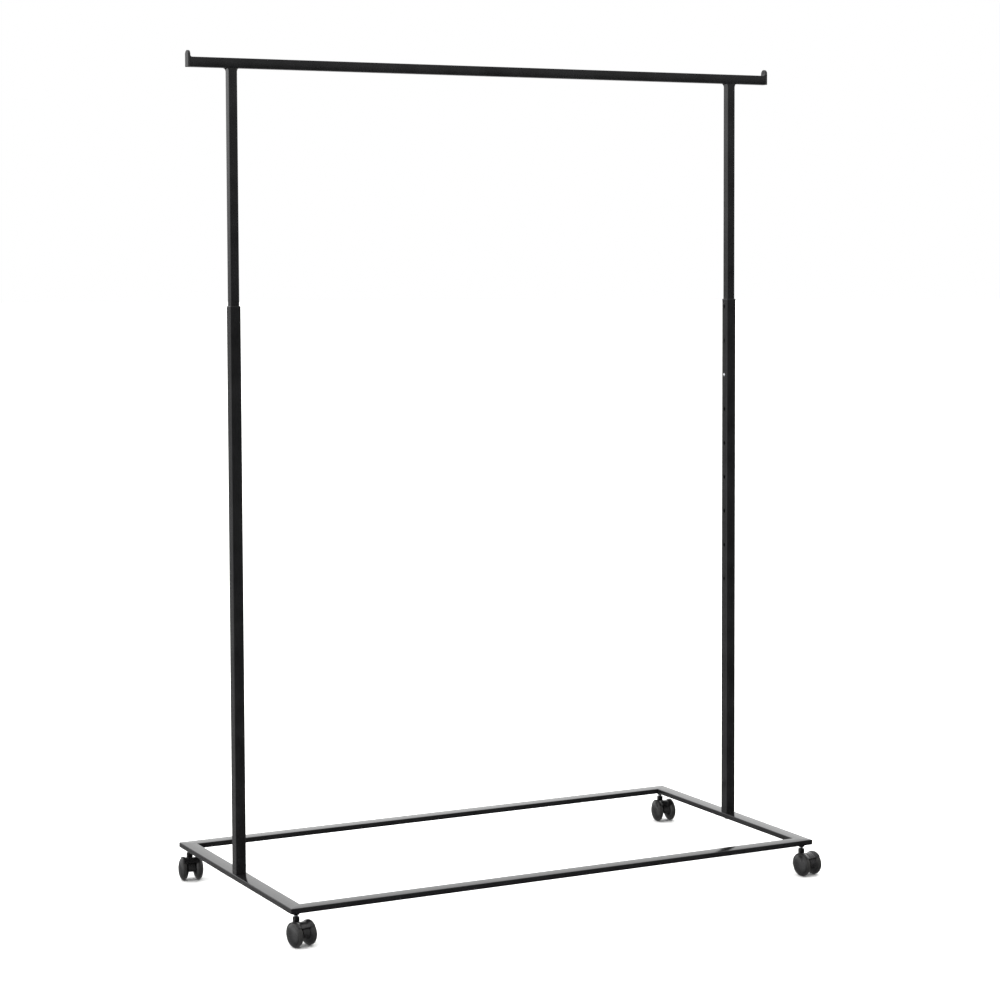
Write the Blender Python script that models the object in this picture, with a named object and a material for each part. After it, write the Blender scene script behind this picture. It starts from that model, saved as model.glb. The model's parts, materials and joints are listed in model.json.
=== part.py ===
"""Rolling garment rack: a mitred base frame on four twin-wheel casters, two telescoping
uprights locked by spring buttons, and one hang rail with raised end stops.

X runs along the hang rail, Y from front to back and Z up. The floor is Z = 0 and the origin is
under the middle of the whole rack. Lengths are in metres and angles in degrees.
"""

import math

import bmesh
import bpy
from mathutils import Matrix, Vector

# Clearances
JOINT_GAP = 0.0003
RUNNING_GAP = 0.0003
FENDER_GAP = 0.0008
WHEEL_ROOM = 0.0004

# Base frame, made of flat tube mitred at the corners
BASE_LENGTH = 1.210
BASE_DEPTH = 0.624
BASE_TUBE_WIDTH = 0.031
BASE_TUBE_HEIGHT = 0.011
BASE_TUBE_WALL = 0.0015
BASE_TUBE_RADIUS = 0.0016
TUBE_BORE_RADIUS = 0.0005

# Telescoping uprights, made of square tube
LOWER_TUBE_SIDE = 0.0225
LOWER_TUBE_WALL = 0.0015
LOWER_TUBE_RADIUS = 0.0020
LOWER_TUBE_LENGTH = 1.1575
LOWER_TUBE_CHAMFER = 0.0009
SLIDING_GAP = 0.0005
UPPER_TUBE_WALL = 0.0012
UPPER_TUBE_RADIUS = 0.0017
UPPER_TUBE_TAIL = 0.025
UPPER_TUBE_SHOWING = 0.4765
WELD_FILLET = 0.0055

# Height setting: a row of holes in the inner faces and one button in each upright
HOLE_COUNT = 9
HOLE_PITCH = 0.0762
HOLE_RADIUS = 0.0041
TOP_HOLE_DROP = 0.017
HOLE_IN_USE = 2

# Hang rail, welded on top of the upper tubes
RAIL_HEIGHT = 0.020
RAIL_WALL = 0.0012
RAIL_RADIUS = 0.0016
RAIL_OVERHANG = 0.0947

# End stops plugged into the hang rail
STOP_THICKNESS = 0.005
STOP_RISE = 0.0133
STOP_TONGUE_LENGTH = 0.016
STOP_EDGE_RADIUS = 0.0009

# Spring buttons
BUTTON_GAP = 0.0003
BUTTON_STAND_OUT = 0.0026
BUTTON_DOME = 0.0020
BUTTON_FLANGE_RADIUS = 0.0053
BUTTON_FLANGE_THICKNESS = 0.0014
CLIP_THICKNESS = 0.0008
CLIP_WIDTH = 0.0100
CLIP_LEG = 0.030

# Bolted feet of the uprights
BOLT_RADIUS = 0.004
BOLT_HEAD_RADIUS = 0.0065
BOLT_HEAD_HEIGHT = 0.0045
BOLT_SOCKET_RADIUS = 0.0029
BOLT_SOCKET_DEPTH = 0.0025
BOLT_REACH = 0.016
PLUG_HEIGHT = 0.022

# Casters
CASTER_INSET = 0.017
STEM_RADIUS = 0.004
STEM_SHOWING = 0.0037
STEM_TOP_IN_TUBE = 0.005
STEM_DEPTH_IN_NECK = 0.022
NUT_ACROSS_FLATS = 0.013
NUT_HEIGHT = 0.0055
NUT_CHAMFER = 0.0022
NECK_RADIUS = 0.0067
NECK_FOOT_RADIUS = 0.0044
NECK_RISE = 0.006
NECK_FLARE = 0.0028
NECK_FLARE_DROP = 0.0045
CASTER_TRAIL = 0.0190
WHEEL_RADIUS = 0.024
WHEEL_PLANE = 0.0163
WHEEL_TREAD_WIDTH = 0.0016
WHEEL_DOME = 0.0096
WHEEL_INNER_FACE = 0.0044
AXLE_RADIUS = 0.003
AXLE_HALF_LENGTH = 0.0190
WEB_HALF_THICKNESS = 0.0073
WEB_RADIUS = 0.0050
WEB_SHIN_RADIUS = 0.0195
WEB_SHIN_ANGLE = 100.0
FENDER_THICKNESS = 0.0012
FENDER_VALLEY = 0.0026
FENDER_SIDE_ANGLE = 80.0
FENDER_BACK_ANGLE = 48.0
FENDER_FRONT_ANGLE = 100.0
WEB_SET_BACK_ANGLE = 4.0

# How fine the faceted curves are
CORNER_STEPS = 2
HOLE_SIDES = 16
WHEEL_SIDES = 24
PIN_SIDES = 16
DOME_STEPS = 4
VALLEY_STEPS = 4
FENDER_STEPS = 12
WEB_STEPS = 20
SMOOTH_ANGLE = 35.0

# Each caster: its name, its corner as signs of X and Y, and how far it has swung about its stem
CASTERS = (
    ("front_left", -1, -1, 11.7),
    ("front_right", 1, -1, 8.6),
    ("back_left", -1, 1, -12.7),
    ("back_right", 1, 1, -5.7),
)
SIDES = (("left", -1), ("right", 1))

# What follows from the sizes above
NECK_TOP = 2 * WHEEL_RADIUS + NECK_RISE
BASE_UNDERSIDE = NECK_TOP + STEM_SHOWING + NUT_HEIGHT + JOINT_GAP
BASE_TOP = BASE_UNDERSIDE + BASE_TUBE_HEIGHT
UPRIGHT_X = (BASE_LENGTH - BASE_TUBE_WIDTH) / 2
LOWER_TUBE_BORE = LOWER_TUBE_SIDE - 2 * LOWER_TUBE_WALL
LOWER_TUBE_TOP = BASE_TOP + LOWER_TUBE_LENGTH
UPPER_TUBE_SIDE = LOWER_TUBE_BORE - 2 * SLIDING_GAP
UPPER_TUBE_BORE = UPPER_TUBE_SIDE - 2 * UPPER_TUBE_WALL
HOLE_HEIGHTS = [LOWER_TUBE_TOP - TOP_HOLE_DROP - row * HOLE_PITCH for row in range(HOLE_COUNT)]
BUTTON_Z = HOLE_HEIGHTS[HOLE_IN_USE]
RAIL_UNDERSIDE = LOWER_TUBE_TOP + UPPER_TUBE_SHOWING
RAIL_TOP = RAIL_UNDERSIDE + RAIL_HEIGHT
RAIL_DEPTH = UPPER_TUBE_SIDE
RAIL_OVERALL_LENGTH = 2 * (UPRIGHT_X + RAIL_OVERHANG)
RAIL_TUBE_LENGTH = RAIL_OVERALL_LENGTH - 2 * (STOP_THICKNESS + JOINT_GAP)
TREAD_INSIDE = WHEEL_PLANE - WHEEL_TREAD_WIDTH / 2
TREAD_OUTSIDE = WHEEL_PLANE + WHEEL_TREAD_WIDTH / 2
# The front wheels reach past the frame, so the frame stands half of that behind the origin.
FRAME_Y = (CASTER_TRAIL + WHEEL_RADIUS - CASTER_INSET) / 2

# Material colours as linear red, green and blue, then metallic and roughness
FINISHES = {
    "black_coating": ((0.012, 0.012, 0.012), 0.0, 0.22),
    "black_nylon": ((0.010, 0.010, 0.010), 0.0, 0.32),
    "black_moulding": ((0.014, 0.014, 0.014), 0.0, 0.35),
    "bright_plate": ((0.75, 0.75, 0.76), 1.0, 0.18),
    "spring_steel": ((0.45, 0.45, 0.47), 1.0, 0.35),
}


def clear_scene():
    """Remove whatever objects the scene starts with."""
    for old in list(bpy.data.objects):
        bpy.data.objects.remove(old, do_unlink=True)


def finish_material(finish, node_name):
    """A Principled material of its own for one node."""
    colour, metallic, roughness = FINISHES[finish]
    material = bpy.data.materials.new(node_name + "_" + finish)
    material.use_nodes = True
    shader = material.node_tree.nodes["Principled BSDF"]
    shader.inputs["Base Color"].default_value = (*colour, 1.0)
    shader.inputs["Metallic"].default_value = metallic
    shader.inputs["Roughness"].default_value = roughness
    return material


def to_mesh(work, name):
    """Turn a bmesh into a mesh whose faces point outwards, with round areas smooth."""
    bmesh.ops.recalc_face_normals(work, faces=work.faces)
    mesh = bpy.data.meshes.new(name)
    work.to_mesh(mesh)
    work.free()
    mesh.shade_smooth()
    mesh.set_sharp_from_angle(angle=math.radians(SMOOTH_ANGLE))
    return mesh


def place(name, mesh, finish, parent, location=(0, 0, 0), turn=0.0):
    """Add one node, turned about Z by some degrees, under its parent empty."""
    node = bpy.data.objects.new(name, mesh)
    node.data.materials.append(finish_material(finish, name))
    node.location = location
    node.rotation_euler = (0, 0, math.radians(turn))
    node.parent = parent
    bpy.context.collection.objects.link(node)
    return node


def guide(name, mesh, parent, location=(0, 0, 0), turn=0.0):
    """Add a shape that only cuts, or joins into, another one."""
    tool = bpy.data.objects.new(name, mesh)
    tool.location = location
    tool.rotation_euler = (0, 0, math.radians(turn))
    tool.parent = parent
    tool.hide_render = True
    tool.display_type = "WIRE"
    bpy.context.collection.objects.link(tool)
    return tool


def combine(node, tool, operation):
    """Cut a tool from a node (DIFFERENCE) or join it on (UNION)."""
    modifier = node.modifiers.new(tool.name, "BOOLEAN")
    modifier.operation = operation
    modifier.solver = "EXACT"
    modifier.object = tool


def empty(name, location=(0, 0, 0), parent=None, turn=0.0):
    """An empty that other pieces are placed from."""
    point = bpy.data.objects.new(name, None)
    point.location = location
    point.rotation_euler = (0, 0, math.radians(turn))
    point.parent = parent
    bpy.context.collection.objects.link(point)
    return point


def arc(centre, radii, start, end, steps):
    """Points along an elliptical arc, both ends included, as pairs."""
    points = []
    for step in range(steps + 1):
        angle = math.radians(start + (end - start) * step / steps)
        points.append((centre[0] + radii[0] * math.cos(angle), centre[1] + radii[1] * math.sin(angle)))
    return points


def rounded_rectangle(width, height, radius):
    """A rectangle about the origin with rounded corners, as pairs."""
    points = []
    for sign_u, sign_v, start in ((1, 1, 0), (-1, 1, 90), (-1, -1, 180), (1, -1, 270)):
        centre = (sign_u * (width / 2 - radius), sign_v * (height / 2 - radius))
        points += arc(centre, (radius, radius), start, start + 90, CORNER_STEPS)
    return points


def tube_mesh(name, outer_rings, inner_rings):
    """A hollow tube from rings of points, which all have the same number of points."""
    work = bmesh.new()
    outer = [[work.verts.new(point) for point in ring] for ring in outer_rings]
    inner = [[work.verts.new(point) for point in ring] for ring in inner_rings]
    pairs = list(zip(outer, outer[1:])) + list(zip(inner, inner[1:]))
    pairs += [(outer[0], inner[0]), (outer[-1], inner[-1])]
    for first, second in pairs:
        for index in range(len(first)):
            after = (index + 1) % len(first)
            work.faces.new((first[index], first[after], second[after], second[index]))
    return to_mesh(work, name)


def turned_mesh(name, profile, sides, axis="Z"):
    """Turn a profile of (radius, height) pairs a full circle about Z, or lay that axis along X."""
    work = bmesh.new()
    verts = [work.verts.new((radius, 0, height)) for radius, height in profile]
    edges = [work.edges.new(pair) for pair in zip(verts, verts[1:])]
    if profile[0][0] > 0:
        edges.append(work.edges.new((verts[-1], verts[0])))
    bmesh.ops.spin(work, geom=verts + edges, cent=(0, 0, 0), axis=(0, 0, 1),
                   angle=math.tau, steps=sides, use_merge=True)
    bmesh.ops.remove_doubles(work, verts=work.verts, dist=1e-6)
    if axis == "X":
        bmesh.ops.rotate(work, verts=work.verts, matrix=Matrix.Rotation(math.pi / 2, 3, "Y"))
    return to_mesh(work, name)


def prism_mesh(name, outline, low, high, axis):
    """Extrude an outline along X or Z. Along X its pairs are (y, z), along Z they are (x, y)."""
    work = bmesh.new()
    if axis == "X":
        points = [Vector((low, first, second)) for first, second in outline]
        step = Vector((high - low, 0, 0))
    else:
        points = [Vector((first, second, low)) for first, second in outline]
        step = Vector((0, 0, high - low))
    face = work.faces.new([work.verts.new(point) for point in points])
    made = bmesh.ops.extrude_face_region(work, geom=[face])
    moved = [item for item in made["geom"] if isinstance(item, bmesh.types.BMVert)]
    bmesh.ops.translate(work, verts=moved, vec=step)
    return to_mesh(work, name)


def pin_mesh(name, radius, low, high, axis="Z"):
    """A plain round pin between two heights on its axis."""
    profile = [(0, low), (radius, low), (radius, high), (0, high)]
    return turned_mesh(name, profile, PIN_SIDES, axis)


def drill_row_mesh(name, reach, heights):
    """Level pins along X, one at each height, that drill a row of button holes."""
    work = bmesh.new()
    for height in heights:
        spot = Matrix.Translation((0, 0, height)) @ Matrix.Rotation(math.pi / 2, 4, "Y")
        bmesh.ops.create_cone(work, cap_ends=True, segments=HOLE_SIDES, radius1=HOLE_RADIUS,
                              radius2=HOLE_RADIUS, depth=2 * reach, matrix=spot)
    return to_mesh(work, name)


def mitred_rail(name, outer_length, parent, location, turn):
    """One side of the base: a flat tube along its own X whose outer edge faces its own +Y."""
    mitre_gap = JOINT_GAP / math.sqrt(2)
    outside = rounded_rectangle(BASE_TUBE_WIDTH, BASE_TUBE_HEIGHT, BASE_TUBE_RADIUS)
    inside = rounded_rectangle(BASE_TUBE_WIDTH - 2 * BASE_TUBE_WALL,
                               BASE_TUBE_HEIGHT - 2 * BASE_TUBE_WALL, TUBE_BORE_RADIUS)

    def ring(section, end):
        half = outer_length / 2 - BASE_TUBE_WIDTH / 2 - mitre_gap
        return [(end * (half + across), across, up) for across, up in section]

    mesh = tube_mesh(name, [ring(outside, -1), ring(outside, 1)], [ring(inside, -1), ring(inside, 1)])
    return place(name, mesh, "black_coating", parent, location, turn)


def make_base(root):
    """The four mitred rails of the base, with holes for the caster stems and the foot bolts."""
    middle = BASE_TOP - BASE_TUBE_HEIGHT / 2
    side = (BASE_LENGTH - BASE_TUBE_WIDTH) / 2
    end = (BASE_DEPTH - BASE_TUBE_WIDTH) / 2
    rails = {
        "front": mitred_rail("front_base_rail", BASE_LENGTH, root, (0, -end, middle), 180),
        "back": mitred_rail("back_base_rail", BASE_LENGTH, root, (0, end, middle), 0),
        "left": mitred_rail("left_base_rail", BASE_DEPTH, root, (-side, 0, middle), 90),
        "right": mitred_rail("right_base_rail", BASE_DEPTH, root, (side, 0, middle), -90),
    }
    hole = STEM_RADIUS + 2 * JOINT_GAP
    for corner, sign_x, sign_y, _swing in CASTERS:
        spot = (sign_x * (BASE_LENGTH / 2 - CASTER_INSET), sign_y * (BASE_DEPTH / 2 - CASTER_INSET), 0)
        drill = guide(corner + "_stem_drill", pin_mesh(corner + "_stem_drill", hole,
                      BASE_UNDERSIDE - BASE_TUBE_WALL, BASE_UNDERSIDE + 2 * BASE_TUBE_WALL), root, spot)
        for part_of_name in corner.split("_"):
            combine(rails[part_of_name], drill, "DIFFERENCE")
    for name, sign in SIDES:
        drill = guide(name + "_bolt_drill", pin_mesh(name + "_bolt_drill", BOLT_RADIUS + JOINT_GAP,
                      BASE_UNDERSIDE - BASE_TUBE_WALL, BASE_TOP + BASE_TUBE_WALL), root, (sign * side, 0, 0))
        combine(rails[name], drill, "DIFFERENCE")


def make_lower_tube(name, sign, root):
    """An outer upright: a square tube with a chamfered top and holes in its inner face."""
    outside = rounded_rectangle(LOWER_TUBE_SIDE, LOWER_TUBE_SIDE, LOWER_TUBE_RADIUS)
    chamfered = rounded_rectangle(LOWER_TUBE_SIDE - 2 * LOWER_TUBE_CHAMFER,
                                  LOWER_TUBE_SIDE - 2 * LOWER_TUBE_CHAMFER,
                                  LOWER_TUBE_RADIUS - LOWER_TUBE_CHAMFER)
    inside = rounded_rectangle(LOWER_TUBE_BORE, LOWER_TUBE_BORE, TUBE_BORE_RADIUS)
    foot = BASE_TOP + JOINT_GAP

    def ring(section, height):
        return [(x, y, height) for x, y in section]

    outer = [ring(outside, foot), ring(outside, LOWER_TUBE_TOP - LOWER_TUBE_CHAMFER),
             ring(chamfered, LOWER_TUBE_TOP)]
    inner = [ring(inside, foot), ring(inside, LOWER_TUBE_TOP)]
    node_name = name + "_lower_tube"
    tube = place(node_name, tube_mesh(node_name, outer, inner), "black_coating", root,
                 (sign * UPRIGHT_X, 0, 0))
    face_x = sign * (UPRIGHT_X - (LOWER_TUBE_SIDE - LOWER_TUBE_WALL) / 2)
    drill = guide(name + "_hole_drills", drill_row_mesh(name + "_hole_drills", LOWER_TUBE_WALL,
                  HOLE_HEIGHTS), root, (face_x, 0, 0))
    combine(tube, drill, "DIFFERENCE")


def make_foot(name, sign, root):
    """What holds an upright to the base: a threaded plug in its foot and a bolt from below."""
    spot = (sign * UPRIGHT_X, 0, 0)
    side = LOWER_TUBE_BORE - 2 * JOINT_GAP
    plug_name = name + "_foot_plug"
    low = BASE_TOP + JOINT_GAP
    plug = place(plug_name, prism_mesh(plug_name, rounded_rectangle(side, side, LOWER_TUBE_WALL / 2),
                 low, low + PLUG_HEIGHT, "Z"), "bright_plate", root, spot)
    thread = guide(name + "_plug_thread", pin_mesh(name + "_plug_thread", BOLT_RADIUS + JOINT_GAP,
                   low - PLUG_HEIGHT, low + 2 * PLUG_HEIGHT), root, spot)
    combine(plug, thread, "DIFFERENCE")
    head_top = BASE_UNDERSIDE - JOINT_GAP
    head_low = head_top - BOLT_HEAD_HEIGHT
    profile = [(0, head_low + BOLT_SOCKET_DEPTH), (BOLT_SOCKET_RADIUS, head_low + BOLT_SOCKET_DEPTH),
               (BOLT_SOCKET_RADIUS, head_low), (BOLT_HEAD_RADIUS, head_low), (BOLT_HEAD_RADIUS, head_top),
               (BOLT_RADIUS, head_top), (BOLT_RADIUS, BASE_TOP + BOLT_REACH), (0, BASE_TOP + BOLT_REACH)]
    bolt_name = name + "_foot_bolt"
    place(bolt_name, turned_mesh(bolt_name, profile, PIN_SIDES), "bright_plate", root, spot)


def make_upper_tube(name, sign, carriage):
    """An inner upright, flared at the top where a weld runs into the hang rail."""
    outside = rounded_rectangle(UPPER_TUBE_SIDE, UPPER_TUBE_SIDE, UPPER_TUBE_RADIUS)
    inside = rounded_rectangle(UPPER_TUBE_BORE, UPPER_TUBE_BORE, TUBE_BORE_RADIUS)
    top = RAIL_UNDERSIDE - JOINT_GAP
    low = BUTTON_Z - UPPER_TUBE_TAIL

    def ring(section, height, flare=0.0):
        return [(x + math.copysign(flare, x), y, height) for x, y in section]

    outer = [ring(outside, low)]
    for out, down in arc((WELD_FILLET, WELD_FILLET), (WELD_FILLET, WELD_FILLET), 180, 270, DOME_STEPS):
        outer.append(ring(outside, top - down, out))
    inner = [ring(inside, low), ring(inside, top)]
    node_name = name + "_upper_tube"
    tube = place(node_name, tube_mesh(node_name, outer, inner), "black_coating", carriage,
                 (sign * UPRIGHT_X, 0, 0))
    face_x = sign * (UPRIGHT_X - (UPPER_TUBE_SIDE - UPPER_TUBE_WALL) / 2)
    drill = guide(name + "_button_drill", drill_row_mesh(name + "_button_drill", UPPER_TUBE_WALL,
                  [BUTTON_Z]), carriage, (face_x, 0, 0))
    combine(tube, drill, "DIFFERENCE")


def make_hang_rail(carriage):
    """The hang rail, a tube along X that is open at both ends."""
    middle = RAIL_TOP - RAIL_HEIGHT / 2
    outside = rounded_rectangle(RAIL_DEPTH, RAIL_HEIGHT, RAIL_RADIUS)
    inside = rounded_rectangle(RAIL_DEPTH - 2 * RAIL_WALL, RAIL_HEIGHT - 2 * RAIL_WALL, TUBE_BORE_RADIUS)

    def ring(section, end):
        return [(end * RAIL_TUBE_LENGTH / 2, y, z) for y, z in section]

    mesh = tube_mesh("hang_rail", [ring(outside, -1), ring(outside, 1)], [ring(inside, -1), ring(inside, 1)])
    place("hang_rail", mesh, "black_coating", carriage, (0, 0, middle))


def make_end_stop(name, sign, carriage):
    """A moulded stop: a round-topped plate and a tongue inside the rail."""
    half = RAIL_DEPTH / 2
    outline = [(-half, RAIL_UNDERSIDE), (half, RAIL_UNDERSIDE)]
    outline += arc((0, RAIL_TOP + STOP_RISE - half), (half, half), 0, 180, 2 * DOME_STEPS)
    node_name = name + "_end_stop"
    plate_mesh = prism_mesh(node_name, outline, 0, STOP_THICKNESS, "X")
    work = bmesh.new()
    work.from_mesh(plate_mesh)
    rim = [edge for edge in work.edges if len(edge.link_faces) == 2 and edge.calc_face_angle() > 1.2]
    bmesh.ops.bevel(work, geom=rim, offset=STOP_EDGE_RADIUS, segments=1, affect="EDGES")
    bpy.data.meshes.remove(plate_mesh)
    turn = 0 if sign > 0 else 180
    spot = (sign * (RAIL_OVERALL_LENGTH / 2 - STOP_THICKNESS), 0, 0)
    stop = place(node_name, to_mesh(work, node_name), "black_moulding", carriage, spot, turn)

    tongue_depth = RAIL_DEPTH - 2 * RAIL_WALL - 2 * JOINT_GAP
    tongue_height = RAIL_HEIGHT - 2 * RAIL_WALL - 2 * JOINT_GAP
    section = [(y, z + RAIL_TOP - RAIL_HEIGHT / 2)
               for y, z in rounded_rectangle(tongue_depth, tongue_height, RAIL_WALL / 2)]
    tongue = guide(name + "_stop_tongue", prism_mesh(name + "_stop_tongue", section,
                   -STOP_TONGUE_LENGTH, STOP_THICKNESS / 2, "X"), carriage, spot, turn)
    combine(stop, tongue, "UNION")


def side_prism_mesh(name, outline, half_width):
    """Extrude an outline of (x, z) pairs evenly to both sides along Y."""
    work = bmesh.new()
    face = work.faces.new([work.verts.new((x, -half_width, z)) for x, z in outline])
    made = bmesh.ops.extrude_face_region(work, geom=[face])
    moved = [item for item in made["geom"] if isinstance(item, bmesh.types.BMVert)]
    bmesh.ops.translate(work, verts=moved, vec=(0, 2 * half_width, 0))
    return to_mesh(work, name)


def make_button(name, sign, carriage):
    """A spring button on its press axis, and the bent clip that pushes it out."""
    flange_back = UPPER_TUBE_BORE / 2 - BUTTON_GAP - BUTTON_FLANGE_THICKNESS
    flange_front = UPPER_TUBE_BORE / 2 - BUTTON_GAP
    shank = HOLE_RADIUS - BUTTON_GAP
    tip = LOWER_TUBE_SIDE / 2 + BUTTON_STAND_OUT
    profile = [(0, flange_back), (BUTTON_FLANGE_RADIUS, flange_back), (BUTTON_FLANGE_RADIUS, flange_front)]
    profile.append((shank, flange_front))
    profile += arc((0, tip - BUTTON_DOME), (shank, BUTTON_DOME), 0, 90, DOME_STEPS)
    press_axis = empty(name + "_button_axis", (sign * UPRIGHT_X, 0, BUTTON_Z), carriage,
                       180 if sign > 0 else 0)
    node_name = name + "_snap_button"
    place(node_name, turned_mesh(node_name, profile, PIN_SIDES, "X"), "bright_plate", press_axis)

    front = flange_back - JOINT_GAP
    back = -UPPER_TUBE_BORE / 2 + JOINT_GAP
    bend = (front - back) / 2
    middle = (front + back) / 2
    outline = [(front, CLIP_LEG / 3), (front, -CLIP_LEG + bend)]
    outline += arc((middle, -CLIP_LEG + bend), (bend, bend), 0, -180, 2 * DOME_STEPS)[1:]
    outline += [(back, CLIP_LEG / 3), (back + CLIP_THICKNESS, CLIP_LEG / 3)]
    inner = bend - CLIP_THICKNESS
    outline += arc((middle, -CLIP_LEG + bend), (inner, inner), -180, 0, 2 * DOME_STEPS)
    outline.append((front - CLIP_THICKNESS, CLIP_LEG / 3))
    clip_name = name + "_button_spring"
    place(clip_name, side_prism_mesh(clip_name, outline, CLIP_WIDTH / 2), "spring_steel", press_axis)


def wheel_profile():
    """Half of a wheel's section as (radius, distance from the caster's middle) pairs."""
    bore = AXLE_RADIUS + RUNNING_GAP
    bore_end = AXLE_HALF_LENGTH + RUNNING_GAP
    bore_angle = math.degrees(math.acos(bore / WHEEL_RADIUS))
    profile = [(0, bore_end), (bore, bore_end)]
    profile += arc((0, TREAD_INSIDE), (WHEEL_RADIUS, TREAD_INSIDE - WHEEL_INNER_FACE),
                   -bore_angle, 0, 2 * DOME_STEPS)
    profile += arc((0, TREAD_OUTSIDE), (WHEEL_RADIUS, WHEEL_DOME), 0, 90, 2 * DOME_STEPS)
    return profile


def wheel_room_mesh(name, sign):
    """The room that a wheel's inner side needs, to be cut from the cover's middle."""
    reach = TREAD_INSIDE - WHEEL_INNER_FACE + WHEEL_ROOM
    radius = WHEEL_RADIUS + WHEEL_ROOM / 2
    dome = arc((0, TREAD_INSIDE), (radius, reach), -90, 0, 2 * DOME_STEPS)
    profile = [(0, TREAD_INSIDE - reach)] + dome[1:] + [(0, TREAD_INSIDE)]
    return turned_mesh(name, [(out, sign * along) for out, along in profile], WHEEL_SIDES, "X")


def fender_line(offset):
    """Half of the cover's section, this far outside the wheel: (distance from the middle, radius)
    pairs from its side edge, over the tread and down into the valley between the wheels."""
    top = WHEEL_RADIUS + offset
    line = arc((TREAD_OUTSIDE, 0), (WHEEL_DOME + offset, top), FENDER_SIDE_ANGLE, 90, CORNER_STEPS)
    for step in range(1, VALLEY_STEPS + 1):
        share = step / VALLEY_STEPS
        across = TREAD_OUTSIDE + (WEB_HALF_THICKNESS - TREAD_OUTSIDE) * share
        line.append((across, top - FENDER_VALLEY * (1 - math.cos(math.pi * share)) / 2))
    return line


def fender_mesh(name):
    """The curved cover over both wheels, spun part of a turn about the axle."""
    outer = fender_line(FENDER_GAP + FENDER_THICKNESS)
    inner = fender_line(FENDER_GAP)
    section = outer + [(-x, r) for x, r in reversed(outer)]
    section += [(-x, r) for x, r in inner] + inner[::-1]
    work = bmesh.new()
    face = work.faces.new([work.verts.new((x, 0, r)) for x, r in section])
    start = Matrix.Rotation(math.radians(FENDER_BACK_ANGLE), 3, "X")
    bmesh.ops.rotate(work, verts=work.verts, matrix=start)
    swing = math.radians(FENDER_BACK_ANGLE + FENDER_FRONT_ANGLE)
    bmesh.ops.spin(work, geom=[face] + list(face.edges) + list(face.verts), cent=(0, 0, 0),
                   axis=(1, 0, 0), angle=-swing, steps=FENDER_STEPS)
    return to_mesh(work, name)


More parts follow.
